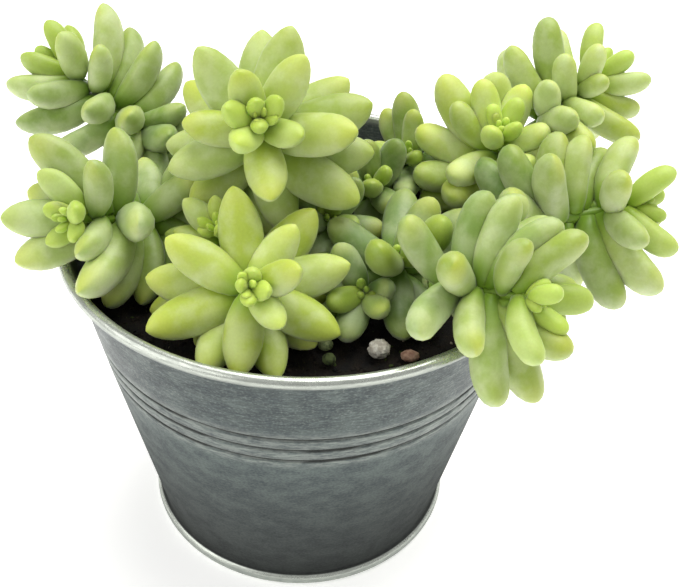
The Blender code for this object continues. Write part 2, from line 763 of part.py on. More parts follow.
main()
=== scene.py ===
"""Burro's tail in a galvanised pot: the finished plant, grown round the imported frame.

Laid out as an add-on and run as a script. Each operator makes one piece or one group of like
pieces, from the settings in its property group.
"""

import math
from collections import namedtuple

import bmesh
import bpy
import numpy as np
from mathutils import Matrix, Vector, noise


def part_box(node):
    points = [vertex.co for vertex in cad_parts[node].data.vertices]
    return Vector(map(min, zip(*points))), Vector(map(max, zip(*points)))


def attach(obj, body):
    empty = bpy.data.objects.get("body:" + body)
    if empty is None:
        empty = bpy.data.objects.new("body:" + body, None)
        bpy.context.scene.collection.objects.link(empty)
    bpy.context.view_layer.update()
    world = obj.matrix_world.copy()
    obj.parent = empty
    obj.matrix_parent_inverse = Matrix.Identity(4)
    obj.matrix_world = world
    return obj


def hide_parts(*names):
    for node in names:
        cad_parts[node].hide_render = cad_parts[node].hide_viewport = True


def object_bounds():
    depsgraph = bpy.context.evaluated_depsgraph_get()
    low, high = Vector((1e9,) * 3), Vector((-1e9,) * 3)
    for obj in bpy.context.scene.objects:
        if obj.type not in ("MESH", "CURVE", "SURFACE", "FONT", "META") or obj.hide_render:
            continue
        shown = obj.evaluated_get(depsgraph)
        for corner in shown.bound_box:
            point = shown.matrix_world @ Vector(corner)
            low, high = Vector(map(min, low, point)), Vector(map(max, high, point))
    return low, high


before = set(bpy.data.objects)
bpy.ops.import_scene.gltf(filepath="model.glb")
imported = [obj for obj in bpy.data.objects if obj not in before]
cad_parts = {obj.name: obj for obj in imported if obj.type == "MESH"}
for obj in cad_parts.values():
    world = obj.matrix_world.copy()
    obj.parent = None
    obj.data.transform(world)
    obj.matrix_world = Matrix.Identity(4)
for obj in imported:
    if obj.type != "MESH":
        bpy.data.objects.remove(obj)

CAD_BOX = [list(corner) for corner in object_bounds()]

bl_info = {
    "name": "Potted burro's tail",
    "version": (1, 0, 0),
    "blender": (4, 5, 0),
    "location": "View3D > Sidebar > Plant",
    "description": "Grows a trailing stonecrop in a galvanised pot",
    "category": "Add Mesh",
}

MM = 0.001
GAP = 0.0003
BODY = "root"

# ---- pot, where the frame's solids have it ----

WALL_LOW, WALL_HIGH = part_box("pot_wall")
POT_AXIS = Vector(((WALL_LOW[0] + WALL_HIGH[0]) / 2, (WALL_LOW[1] + WALL_HIGH[1]) / 2, 0.0))
RIM_RADIUS = (WALL_HIGH[0] - WALL_LOW[0]) / 2
POT_HEIGHT = WALL_HIGH[2]
RIM_ROLL = 0.0015
WALL_TOP_RADIUS = 0.0625
WALL_FOOT_RADIUS = 0.0447
SHEET = 0.0008
BEAD_RADIUS = 0.0461
BEAD_ROLL = 0.0022
GROOVE_HEIGHTS = (0.0642, 0.0686, 0.0730)
GROOVE_DEPTH = 0.0006
GROOVE_HALF_WIDTH = 0.0010
COLLAR_START = 0.004
BODY_END = 0.0016
RIM_HEIGHT = 0.0052
RIM_DEPTH = 0.0033
BASE_HEIGHT = 0.0020
BASE_THICKNESS = 0.0008
LIP_DEPTH = 0.001
PRESSED_RING_HALF_WIDTH = 0.0016
PRESSED_RING_HEIGHT = 0.0004
SOIL_LEVEL = 0.0860
SOIL_CROWN = 0.0015
LUMP_HEIGHT = 0.0011
LUMP_LIMIT = 0.0012
CRUMB_MARGIN = 0.0012
PLANTED_DEPTH = 0.0060

# ---- how leaves and stems grow ----

FULL_LEAF_LENGTH = 24.0
FULL_LEAF_WIDTH = 11.8
WIDTH_POWER = 0.7
LEAF_NECK = 0.05
LEAF_TIPWARD = 1.15
LEAF_FULLNESS = 2.5
LEAF_ROUNDNESS = 0.52
LEAF_BEND = math.radians(32)
HEAD_TIP_GIRTH = 0.9
HEAD_FOOT_GIRTH = 2.2
HEAD_FOOT = 4.0
STEM_RADIUS = 0.0019
STEM_EASE = 0.5
STEM_POINTS = 13
TIP_BUDS = 5
BUD_TURN = 2.4
BUD_STEP = 0.4 * MM
BUD_OFFSET = 0.3 * MM
BUD_GIRTH = 0.27
BLUNTNESS_SPREAD = 0.25
LUCK_SEED = 20

# ---- how crowded leaves make room ----

PROBES = np.array((0.30, 0.45, 0.60, 0.75, 0.90))
PROBE_GIRTH = 0.96
ROOM = 0.0008
OWN_SHOOT_SHARE = 0.68
EASE_ROUNDS = 160
EASE_GAIN = 0.45
EASE_RETURN = 0.04

# Each shoot: tip of its axis, in millimetres from the pot's axis, its heading and rise in
# degrees, the step between leaves, how plump they are, where its stem is planted, and its
# leaves from the tip down, as (turn round the axis, lean away from it, length).
Shoot = namedtuple("Shoot", "tip heading rise spacing plump root leaves")
SHOOTS = {
    "left_back": Shoot((-72, 38, 122), 155, 30, 1.2, 0.88, (-30, 20), (
        (75, 22, 8), (215, 30, 9), (355, 34, 14), (290, 40, 15), (100, 38, 15), (25, 70, 18),
        (108, 40, 20), (180, 60, 18), (90, 70, 19), (235, 70, 20), (0, 75, 16), (325, 55, 25),
        (118, 60, 24), (60, 101, 20), (200, 90, 22), (306, 61, 24), (322, 79, 22), (270, 85, 22),
        (125, 72, 21), (42, 108, 20), (295, 84, 23), (170, 105, 20), (352, 124, 18), (90, 110, 20),
        (130, 100, 20), (30, 120, 20), (250, 100, 20), (75, 125, 20), (320, 115, 20),
        (150, 120, 18),
    )),
    "left_front": Shoot((-55, -27, 113), 228, 26, 1.15, 0.92, (-34, 0), (
        (55, 60, 9), (110, 60, 8), (265, 37, 8), (200, 47, 10), (302, 55, 15), (242, 36, 20),
        (12, 64, 17), (274, 64, 19), (116, 45, 17), (200, 46, 23), (304, 51, 26), (245, 82, 22),
        (341, 85, 22), (70, 61, 21), (140, 46, 28), (217, 78, 18), (161, 76, 23), (282, 99, 22),
        (180, 77, 22), (25, 125, 18), (150, 86, 22), (308, 125, 20), (95, 112, 22), (340, 125, 20),
        (60, 118, 20), (150, 115, 20), (20, 112, 18),
    )),
    "middle_tall": Shoot((-10, -18, 137), 275, 48, 1.0, 0.96, (-9, 6), (
        (180, 39, 6), (340, 10, 7), (57, 27, 9), (266, 32, 12), (220, 39, 13), (118, 55, 13),
        (326, 30, 16), (32, 67, 20), (182, 73, 20), (270, 84, 18), (92, 76, 24), (20, 65, 26),
        (251, 90, 23), (323, 67, 25), (75, 78, 28), (2, 79, 27), (150, 100, 23), (280, 118, 25),
        (124, 95, 28), (60, 77, 27), (304, 96, 26), (225, 100, 22), (96, 90, 28), (25, 105, 24),
        (180, 112, 23), (340, 110, 24), (100, 100, 26), (248, 127, 24), (150, 120, 24),
        (60, 115, 24), (210, 125, 23), (90, 125, 24), (300, 120, 22), (132, 138, 22),
    )),
    "front": Shoot((-10, -47, 110), 275, 42, 1.0, 0.9, (-8, -20), (
        (281, 18, 5), (168, 33, 6), (109, 28, 8), (20, 25, 7), (140, 60, 13), (74, 44, 16),
        (189, 78, 20), (36, 82, 18), (302, 80, 22), (115, 86, 23), (0, 80, 24), (251, 85, 25),
        (85, 88, 24), (168, 93, 22), (270, 91, 24), (29, 98, 25), (208, 89, 23), (266, 105, 24),
        (140, 105, 20), (330, 108, 22), (190, 122, 18), (295, 112, 22), (95, 115, 20),
    )),
    "front_young": Shoot((-20, -24, 110), 240, 60, 1.0, 0.9, (-18, -10), (
        (100, 33, 5), (236, 58, 5), (323, 50, 9), (9, 68, 8), (292, 52, 13), (246, 68, 12),
        (90, 80, 10), (245, 84, 16), (200, 87, 14), (330, 95, 14),
    )),
    "low_right": Shoot((25, -22, 102), 290, 64, 0.9, 0.9, (22, -14), (
        (104, 16, 20), (237, 42, 19), (41, 56, 18), (24, 86, 22), (207, 95, 20), (320, 83, 20),
        (68, 68, 24), (140, 90, 19), (266, 95, 22), (100, 90, 22),
    )),
    "right_inner": Shoot((51, 14, 120), 275, 70, 1.1, 0.88, (49, 26), (
        (335, 50, 7), (142, 29, 9), (38, 46, 11), (217, 34, 12), (345, 58, 17), (95, 73, 15),
        (50, 51, 18), (314, 64, 17), (213, 65, 19), (72, 80, 19), (325, 57, 26), (290, 82, 22),
        (144, 72, 20), (350, 46, 25), (226, 68, 22), (261, 97, 22), (0, 48, 24), (180, 95, 20),
        (210, 105, 20), (250, 105, 20), (314, 95, 22),
    )),
    "back_inner": Shoot((28, 25, 105), 240, 58, 1.2, 0.8, (33, 35), (
        (114, 35, 10), (195, 40, 15), (337, 70, 14), (262, 60, 12), (184, 61, 18), (328, 57, 21),
        (60, 70, 18), (316, 61, 20), (110, 85, 18), (240, 90, 18),
    )),
    "right_back": Shoot((82, 41, 125), 38, 24, 1.05, 0.8, (56, 5), (
        (87, 23, 10), (200, 30, 10), (310, 40, 12), (38, 45, 16), (265, 44, 16), (140, 50, 16),
        (343, 75, 15), (230, 55, 17), (312, 80, 12), (60, 60, 20), (240, 76, 21), (180, 70, 20),
        (359, 89, 17), (292, 103, 18), (30, 66, 24), (117, 74, 22), (278, 116, 23), (210, 90, 20),
        (45, 88, 22), (348, 108, 19), (66, 71, 25), (150, 95, 20), (300, 118, 20),
    )),
    "right": Shoot((87, -4, 110), 6, 12, 1.25, 0.88, (49, -6), (
        (100, 20, 8), (240, 37, 8), (5, 32, 14), (232, 51, 17), (150, 38, 16), (329, 91, 18),
        (271, 77, 17), (52, 55, 21), (228, 67, 25), (110, 65, 20), (180, 70, 20), (223, 78, 25),
        (73, 61, 24), (34, 82, 20), (140, 85, 22), (189, 88, 20), (350, 100, 22), (60, 95, 22),
        (20, 112, 23), (100, 100, 20), (325, 115, 22), (65, 118, 22),
    )),
    "right_front": Shoot((53, -49, 112), -34, 16, 1.0, 0.8, (37, -22), (
        (334, 22, 9), (184, 40, 11), (116, 56, 17), (237, 54, 17), (50, 52, 20), (133, 63, 16),
        (186, 76, 27), (358, 59, 16), (122, 41, 19), (206, 93, 25), (181, 38, 22), (43, 56, 22),
        (39, 74, 22), (255, 66, 19), (62, 61, 24), (317, 75, 20), (90, 80, 20), (38, 82, 22),
        (274, 83, 22), (54, 71, 26), (150, 85, 20), (345, 105, 20),
    )),
    "low_middle": Shoot((7, -4, 101), 285, 50, 0.9, 0.95, (6, 5), (
        (20, 25, 8), (155, 35, 10), (270, 45, 12), (40, 55, 14), (205, 62, 15), (330, 70, 16),
        (110, 72, 16), (245, 78, 17), (15, 84, 17),
    )),
    "low_back": Shoot((18, 12, 103), 260, 60, 0.9, 0.95, (18, 17), (
        (80, 25, 8), (215, 30, 11), (345, 45, 13), (130, 55, 14), (260, 62, 16), (30, 70, 16),
        (185, 76, 17), (310, 80, 17), (90, 84, 17),
    )),
    "low_front": Shoot((16, -31, 98), 265, 50, 0.8, 0.95, (16, -24), (
        (250, 45, 11), (115, 46, 11), (200, 62, 14), (320, 60, 14), (228, 82, 14), (80, 80, 11),
        (285, 70, 12),
    )),
}

# How blunt a shoot's leaves are, from pointed at 0 to sausage-shaped at 1, and how much sun it has
# had, from blue-green at 0 to yellow-green at 1;
# the same number paints light and shade on the whole shoot, darker towards 0 for the low shoots that
# sit in shadow.
Habit = namedtuple("Habit", "bluntness sun")
HABITS = {
    "left_back": Habit(0.45, 0.50), "left_front": Habit(0.35, 0.42),
    "middle_tall": Habit(0.10, 0.80), "front": Habit(0.05, 0.95),
    "front_young": Habit(0.05, 0.95), "low_right": Habit(0.60, 0.05),
    "right_inner": Habit(0.75, 1.0), "back_inner": Habit(0.70, 0.30),
    "right_back": Habit(0.85, 0.80), "right": Habit(0.80, 0.55),
    "right_front": Habit(0.90, 0.60), "low_middle": Habit(0.45, 0.0),
    "low_back": Habit(0.60, 0.10), "low_front": Habit(0.50, 0.0),
}


# ---- settings ----


def tone(code):
    """A display colour written as six hex digits, as linear light."""
    shares = [int(code[place:place + 2], 16) / 255 for place in (0, 2, 4)]
    return tuple(
        share / 12.92 if share <= 0.04045 else ((share + 0.055) / 1.055) ** 2.4
        for share in shares
    )


def setting(kind, name, description, default, **more):
    return kind(name=name, description=description, default=default, **more)


def number_setting(name, description, default, **more):
    return setting(bpy.props.FloatProperty, name, description, default, **more)


def length_setting(name, description, default):
    return number_setting(
        name, description, default, subtype="DISTANCE", unit="LENGTH", min=0.0, precision=5
    )


def share_setting(name, description, default):
    return number_setting(name, description, default, subtype="FACTOR", min=0.0, max=1.0)


def angle_setting(name, description, degrees):
    return number_setting(
        name, description, math.radians(degrees), subtype="ANGLE", unit="ROTATION"
    )


def count_setting(name, description, default, least=3):
    return setting(bpy.props.IntProperty, name, description, default, min=least)


def colour_setting(name, description, code):
    return setting(
        bpy.props.FloatVectorProperty, name, description, tone(code),
        subtype="COLOR", size=3, min=0.0, max=1.0,
    )


class PotSettings(bpy.types.PropertyGroup):
    sides: count_setting("Sides", "Steps round the pot", 144)
    dent: length_setting("Dents", "How far the thin sheet strays from a true cone", 0.00012)
    dark_zinc: colour_setting("Dark zinc", "Darker patches of the sheet", "40474b")
    pale_zinc: colour_setting("Pale zinc", "Paler patches of the sheet", "69736f")
    # The bright zinc is also the painted highlight along the rim's crest and the bead.
    bright_zinc_and_highlight: colour_setting("Bright zinc", "Rubbed rim and bead", "c6cbc2")
    roughness: share_setting("Roughness", "How matt the zinc is", 0.42)


class LeafSettings(bpy.types.PropertyGroup):
    sides: count_setting("Sides", "Steps round a leaf", 14)
    rings: count_setting("Rings", "Steps along a leaf", 11)
    flatness: share_setting("Flatness", "Thickness of a leaf as a share of its width", 0.80)
    dimple: length_setting("Dimples", "Unevenness of the skin", 0.00026)
    # The sunny and shady greens are partly the colour the skin takes in sun or shade, and partly
    # painted light and painted shade on shoots that sit lit or in shadow.
    sun_grown_and_painted_lit: colour_setting("Sunny green", "Skin of leaves in full sun", "bbcd50")
    shade_grown_and_painted_shade: colour_setting("Shady green", "Skin of leaves in shade", "82a450")
    bloom_and_painted_light: colour_setting("Bloom", "Powdery wax over the skin", "e0e9bf")
    # The rubbed green is also painted shade: it darkens the leaf bases where they sit in the
    # crevices of the rosette.
    bare: colour_setting("Rubbed green", "Skin where the wax is rubbed off", "779e1c")
    tip: colour_setting("Tip", "Flushed tip of a leaf", "c9d456")
    bud: colour_setting("Bud", "Youngest leaves at the heart of a rosette", "b9d350")


class StemSettings(bpy.types.PropertyGroup):
    sides: count_setting("Sides", "Steps round a stem", 16)
    scar_step: length_setting("Scar spacing", "Distance between leaf scars", 0.0022)
    scar_height: length_setting("Scar height", "How far a leaf scar stands out", 0.00022)
    green: colour_setting("Young stem", "Fleshy part of the stem", "8fa765")
    brown: colour_setting("Old stem", "Corky part of the stem", "7d6a4c")


class SoilSettings(bpy.types.PropertyGroup):
    sides: count_setting("Sides", "Steps round the soil", 96)
    crumb: length_setting("Crumb size", "Size of the largest crumbs", 0.0026)
    density: number_setting("Crumbs", "Crumbs on a square metre of soil", 330000.0, min=0.0)
    seed: count_setting("Seed", "Layout of the crumbs", 7, 0)
    dark: colour_setting("Wet soil", "Darkest soil", "0a0807")
    light: colour_setting("Dry soil", "Paler crumbs", "332b23")


class StageSettings(bpy.types.PropertyGroup):
    camera_place: setting(
        bpy.props.FloatVectorProperty, "Camera place", "Where the camera stands",
        (0.005018, -0.21802, 0.24159), subtype="TRANSLATION", unit="LENGTH", size=3,
    )
    camera_pitch: angle_setting("Camera pitch", "How far the camera looks down", 37.68)
    camera_roll: angle_setting("Camera roll", "How far the camera leans", 2.664)
    focal_length: number_setting("Focal length", "In millimetres on a 36 mm sensor", 51.466, min=1.0)
    floor: colour_setting("Floor", "Colour of the floor", "fbfbfa")
    floor_glow: share_setting("Floor glow", "Light given off by the floor", 0.42)
    sky_strength: number_setting("Sky", "Strength of the even light all round", 0.45, min=0.0)


# ---- node trees ----


class Value:
    """A socket that sums can be written with: each sign adds a Math node to its web."""

    def __init__(self, web, socket):
        self.web = web
        self.socket = socket

    def __add__(self, other):
        return self.web.math("ADD", self, other)

    def __sub__(self, other):
        return self.web.math("SUBTRACT", self, other)

    def __rsub__(self, other):
        return self.web.math("SUBTRACT", other, self)

    def __mul__(self, other):
        return self.web.math("MULTIPLY", self, other)

    def __truediv__(self, other):
        return self.web.math("DIVIDE", self, other)

    def __rtruediv__(self, other):
        return self.web.math("DIVIDE", other, self)

    def __pow__(self, other):
        return self.web.math("POWER", self, other)

    __rmul__ = __mul__

    def ramp(self, start, end, low=0.0, high=1.0):
        """Rises smoothly from low to high as this goes from start to end."""
        return self.web.make(
            "ShaderNodeMapRange",
            {"Value": self, "From Min": start, "From Max": end, "To Min": low, "To Max": high},
            interpolation_type="SMOOTHSTEP",
        )


class Web:
    """Places nodes in a tree and joins them up as it goes."""

    def __init__(self, tree):
        self.tree = tree

    def feed(self, socket, value):
        if isinstance(value, Value):
            self.tree.links.new(value.socket, socket)
        else:
            socket.default_value = value

    def node(self, kind, inputs, **settings):
        """A node's outputs; its settings come first, because they decide its inputs."""
        made = self.tree.nodes.new(kind)
        for name, value in settings.items():
            setattr(made, name, value)
        for socket, value in inputs.items():
            self.feed(made.inputs[socket], value)
        return made.outputs

    def make(self, kind, inputs=None, out=0, **settings):
        """A node, as the value of one of its outputs."""
        return Value(self, self.node(kind, inputs or {}, **settings)[out])

    def math(self, operation, *values):
        return self.make("ShaderNodeMath", dict(enumerate(values)), operation=operation)

    def clamp(self, value):
        return self.make("ShaderNodeClamp", {0: value})

    def vector(self, operation, *values, out=0):
        return self.make(
            "ShaderNodeVectorMath", dict(enumerate(values)), out, operation=operation
        )

    def scaled(self, vector, factor):
        return self.make(
            "ShaderNodeVectorMath", {0: vector, "Scale": factor}, operation="SCALE"
        )

    def parts(self, vector):
        """The X, Y and Z of a vector."""
        return [Value(self, part) for part in self.node("ShaderNodeSeparateXYZ", {0: vector})]

    def blend(self, share, first, second, how="MIX"):
        return self.make(
            "ShaderNodeMix", {0: share, 6: padded(first), 7: padded(second)}, 2,
            data_type="RGBA", blend_type=how,
        )

    def attribute(self, name):
        """A number that the mesh carries, in a material."""
        return self.make("ShaderNodeAttribute", out="Fac", attribute_name=name)

    def named(self, name, kind="FLOAT"):
        """A number or a vector that the mesh carries, in a geometry tree."""
        return self.make("GeometryNodeInputNamedAttribute", {"Name": name}, data_type=kind)

    def stored(self, geometry, name, value):
        return self.make(
            "GeometryNodeStoreNamedAttribute",
            {"Geometry": geometry, "Name": name, "Value": value},
            data_type="FLOAT", domain="POINT",
        )

    def moved(self, geometry, **where):
        return self.make("GeometryNodeSetPosition", {"Geometry": geometry, **where})

    def placed_copies(self, **inputs):
        """Copies of a shape on points, as real geometry."""
        copies = self.make("GeometryNodeInstanceOnPoints", inputs)
        return self.make("GeometryNodeRealizeInstances", {0: copies})

    def tube(self, curve, sides):
        """A closed tube along a curve, as thick as its girth says."""
        ring = self.make("GeometryNodeCurvePrimitiveCircle", {"Resolution": sides, "Radius": 1.0})
        return self.make(
            "GeometryNodeCurveToMesh",
            {"Curve": curve, "Profile Curve": ring, "Scale": self.named("girth"),
             "Fill Caps": True},
        )

    def joined(self, *geometries):
        join = self.tree.nodes.new("GeometryNodeJoinGeometry")
        for geometry in geometries:
            self.feed(join.inputs[0], geometry)
        return Value(self, join.outputs[0])


def padded(colour):
    """A colour with its alpha, or the value that it comes from."""
    return colour if isinstance(colour, Value) else (*colour[:3], 1.0)


def new_socket(tree, name, kind, into="INPUT"):
    return tree.interface.new_socket(name=name, in_out=into, socket_type="NodeSocket" + kind)


def new_tree(name, kind, inputs):
    """A new node tree with its number inputs in place."""
    tree = bpy.data.node_groups.new(name, kind)
    if kind == "GeometryNodeTree":
        new_socket(tree, "Geometry", "Geometry")
        new_socket(tree, "Material", "Material")
        new_socket(tree, "Geometry", "Geometry", "OUTPUT")
    for socket_name, default in inputs.items():
        kind_of_number = "Int" if isinstance(default, int) else "Float"
        new_socket(tree, socket_name, kind_of_number).default_value = default
    web = Web(tree)
    start = tree.nodes.new("NodeGroupInput").outputs
    return web, {socket.name: Value(web, socket) for socket in start}


def mottle_group():
    """Cloudy patches with a finer grain in them, and streaks that run up and down."""
    name = "cloudy_mottle"
    if name in bpy.data.node_groups:
        return bpy.data.node_groups[name]
    web, given = new_tree(
        name, "ShaderNodeTree",
        {"Patch Scale": 200.0, "Grain Scale": 1500.0, "Streak": 1.0, "Seed": 0.0},
    )
    x, y, z = web.parts(web.make("ShaderNodeTexCoord", out="Object"))
    drawn = web.make("ShaderNodeCombineXYZ", {"X": x, "Y": y, "Z": z * given["Streak"]})
    end = web.tree.nodes.new("NodeGroupOutput")
    for target, scale, detail, low, high in (
        ("Patches", given["Patch Scale"], 4.0, 0.36, 0.64),
        ("Grain", given["Grain Scale"], 2.0, 0.30, 0.70),
    ):
        cloud = web.make(
            "ShaderNodeTexNoise",
            {"Vector": drawn, "W": given["Seed"], "Scale": scale, "Detail": detail},
            noise_dimensions="4D",
        )
        new_socket(web.tree, target, "Float", "OUTPUT")
        web.feed(end.inputs[target], cloud.ramp(low, high))
    return web.tree


def mottled(web, patch, grain, streak, seed):
    """The patches and the grain of the cloudy mottle, in a material."""
    inputs = {"Patch Scale": patch, "Grain Scale": grain, "Streak": streak, "Seed": seed}
    made = web.node("ShaderNodeGroup", inputs, node_tree=mottle_group())
    return Value(web, made["Patches"]), Value(web, made["Grain"])


def skin_relief_group():
    """The fine unevenness of a surface, as a normal."""
    name = "skin_relief"
    if name in bpy.data.node_groups:
        return bpy.data.node_groups[name]
    web, given = new_tree(
        name, "ShaderNodeTree",
        {"Coarse Scale": 400.0, "Fine Scale": 3000.0, "Fine Share": 0.3, "Strength": 0.3,
         "Depth": 0.0002},
    )
    place = web.make("ShaderNodeTexCoord", out="Object")
    coarse, fine = (
        web.make("ShaderNodeTexNoise", {"Vector": place, "Scale": given[size], "Detail": detail})
        for size, detail in (("Coarse Scale", 3.0), ("Fine Scale", 2.0))
    )
    height = fine * given["Fine Share"] + coarse
    bump = web.make(
        "ShaderNodeBump",
        {"Height": height, "Strength": given["Strength"], "Distance": given["Depth"]},
    )
    new_socket(web.tree, "Normal", "Vector", "OUTPUT")
    web.feed(web.tree.nodes.new("NodeGroupOutput").inputs["Normal"], bump)
    return web.tree


def new_material(name, **plain):
    """A material, its web and its Principled inputs, with the even values set on them."""
    material = bpy.data.materials.new(name)
    material.use_nodes = True
    shader = material.node_tree.nodes["Principled BSDF"].inputs
    for socket, value in plain.items():
        shader[socket.replace("_", " ")].default_value = value
    return material, Web(material.node_tree), shader


def finish_skin(web, shader, colour, rough, relief):
    """Feeds a colour, a roughness and a relief: two scales, fine share, strength and depth."""
    names = ("Coarse Scale", "Fine Scale", "Fine Share", "Strength", "Depth")
    normal = web.make(
        "ShaderNodeGroup", dict(zip(names, relief)), "Normal", node_tree=skin_relief_group()
    )
    for socket, value in (("Base Color", colour), ("Roughness", rough), ("Normal", normal)):
        web.feed(shader[socket], value)


# ---- finishing pieces ----


def placed(name, data):
    """A new object in the scene, at the origin."""
    made = bpy.data.objects.new(name, data)
    bpy.context.scene.collection.objects.link(made)
    return made


def plain_piece(name, mesh, node):
    """Puts a finished mesh in the scene in place of the frame's node, riding on the plant."""
    piece = placed(name, mesh)
    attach(piece, BODY)
    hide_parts(node)


def grown_mesh(name, seed_mesh, tree, **inputs):
    """Runs a geometry tree on a mesh and keeps the result as a plain mesh."""
    grower = placed(name + "_grower", seed_mesh)
    modifier = grower.modifiers.new("grow", "NODES")
    modifier.node_group = tree
    for item in tree.interface.items_tree:
        key = item.name.replace(" ", "_")
        if key in inputs:
            modifier[item.identifier] = inputs[key]
    grower.update_tag()
    graph = bpy.context.evaluated_depsgraph_get()
    mesh = bpy.data.meshes.new_from_object(grower.evaluated_get(graph))
    mesh.name = name
    grower.modifiers.remove(modifier)
    bpy.data.objects.remove(grower)
    return mesh


def mesh_from(builder, name, material=None):
    """A smooth mesh from a builder, moved from the pot's axis to its place in the frame."""
    bmesh.ops.recalc_face_normals(builder, faces=builder.faces)
    mesh = bpy.data.meshes.new(name)
    builder.to_mesh(mesh)
    builder.free()
    mesh.transform(Matrix.Translation(POT_AXIS))
    mesh.shade_smooth()
    if material:
        mesh.materials.append(material)
    return mesh


def add_line(builder, spots):
    """Strings points together with edges."""
    line = [builder.verts.new(spot) for spot in spots]
    for pair in zip(line, line[1:]):
        builder.edges.new(pair)


def store(mesh, name, values):
    """Keeps one number or one vector for each point of a mesh under a name."""
    values = np.array(values, dtype=np.float32)
    kind, field = ("FLOAT_VECTOR", "vector") if values.ndim == 2 else ("FLOAT", "value")
    mesh.attributes.new(name, kind, "POINT").data.foreach_set(field, values.ravel())


def geometry_tree(name, **inputs):
    """A new geometry tree: its web and what it is given."""
    named_inputs = {socket.replace("_", " "): value for socket, value in inputs.items()}
    return new_tree(name, "GeometryNodeTree", named_inputs)


def close_tree(web, given, geometry):
    """Ends a tree in real, smooth geometry with its material."""
    geometry = web.make("GeometryNodeRealizeInstances", {0: geometry})
    geometry = web.make("GeometryNodeSetShadeSmooth", {0: geometry})
    geometry = web.make(
        "GeometryNodeSetMaterial", {"Geometry": geometry, "Material": given["Material"]}
    )
    web.feed(web.tree.nodes.new("NodeGroupOutput").inputs[0], geometry)
    return web.tree


# ---- pot ----

SCUFF = tone("2e3234")
# Dark tone painted as shade in the grooves and down the inside of the wall.
PAINTED_SHADE_TONE = tone("1a1c18")


def arc(centre, radius, start, end, count):
    angles = np.radians(np.linspace(start, end, count))
    return [(centre[0] + radius * math.cos(a), centre[1] + radius * math.sin(a)) for a in angles]


def swell(share):
    """A smooth hump: 1 at share 0, and 0 at -1 and 1."""
    return 0.5 + 0.5 * math.cos(math.pi * share)


def wall_radius(height):
    """Outer radius of the tapered sheet at this height."""
    return WALL_FOOT_RADIUS + (WALL_TOP_RADIUS - WALL_FOOT_RADIUS) * height / POT_HEIGHT


def rolled_groove(height):
    """A groove rolled into the sheet, from its lower to its upper edge."""
    shares = np.linspace(-1.0, 1.0, 8)
    levels = [height + GROOVE_HALF_WIDTH * share for share in shares]
    return [
        (wall_radius(level) - GROOVE_DEPTH * swell(share), level)
        for share, level in zip(shares, levels)
    ]


def wall_outline():
    """Section of the pot wall, up the outside, over the rolled rim and down the inside."""
    bead = (BEAD_RADIUS - BEAD_ROLL, BEAD_ROLL)
    roll = (RIM_RADIUS - RIM_ROLL, POT_HEIGHT - RIM_ROLL)
    outline = arc(bead, BEAD_ROLL, -115, -16, 10)
    outline.append((bead[0] + 0.86 * BEAD_ROLL, bead[1] + 0.10 * BEAD_ROLL))
    outline += arc(bead, BEAD_ROLL, 22, 78, 7)
    for height in GROOVE_HEIGHTS:
        outline += rolled_groove(height)
    top = GROOVE_HEIGHTS[-1] + COLLAR_START
    under_rim = POT_HEIGHT - RIM_HEIGHT
    outline += [(wall_radius(level), level) for level in np.linspace(top, under_rim, 4)]
    outline += arc(roll, RIM_ROLL, -128, 180, 22)
    low = GROOVE_HEIGHTS[0] - BODY_END
    backs = [(height, GROOVE_DEPTH) for height in reversed(GROOVE_HEIGHTS)]
    for level, sunk in [(POT_HEIGHT - RIM_DEPTH, 0.0), (top, 0.0), *backs, (low, 0.0)]:
        outline.append((wall_radius(level) - SHEET - sunk, level))
    outline.append((wall_radius(2 * BEAD_ROLL) - 2 * SHEET, 2 * BEAD_ROLL))
    outline.append((bead[0] - BEAD_ROLL, 0.6 * BEAD_ROLL))
    return outline


def base_outline():
    """Section of the base: a flat disc with a turned-down lip and two pressed rings."""
    foot = BEAD_RADIUS - 2 * BEAD_ROLL - GAP
    top, lip = BASE_HEIGHT + BASE_THICKNESS, BASE_HEIGHT - LIP_DEPTH
    under = [(0.0, BASE_HEIGHT)]
    for ring in (0.40, 0.78):
        for share in np.linspace(-1, 1, 7):
            lift = PRESSED_RING_HEIGHT * swell(share)
            under.append((foot * ring + PRESSED_RING_HALF_WIDTH * share, BASE_HEIGHT + lift))
    under += [(foot - 0.0017, BASE_HEIGHT), (foot - 0.0015, BASE_HEIGHT - 0.0003)]
    under += [(foot - 0.0013, lip), (foot - 0.0005, lip), (foot - 0.0003, lip + 0.0002)]
    return under + [(foot - 0.0003, top), (0.0, top)]


def turned(outline, sides, closed=True):
    """A section swept round the upright axis; an open one has to start and end on it."""
    builder = bmesh.new()
    turns = [2 * math.pi * step / sides for step in range(sides)]
    rings = []
    for radius, height in outline:
        places = [(radius * math.cos(turn), radius * math.sin(turn), height) for turn in turns]
        ring = [builder.verts.new(place) for place in places[:1 if radius == 0 else sides]]
        rings.append(ring if radius else ring * sides)
    for low, high in zip(rings, rings[1:] + rings[:1] if closed else rings[1:]):
        for step in range(sides):
            corners = (low[step - 1], low[step], high[step], high[step - 1])
            builder.faces.new(dict.fromkeys(corners))
    return builder


def dent_sheet(builder, depth):
    """Makes the thin sheet a little uneven between its stiff rim and bead."""
    for vertex in builder.verts:
        share = vertex.co.z / POT_HEIGHT
        free = max(0.0, 4 * share * (1 - share))
        stray = noise.noise(vertex.co * 38.0) * depth * free
        outward = Vector((vertex.co.x, vertex.co.y, 0.0)).normalized()
        vertex.co -= outward * abs(stray)


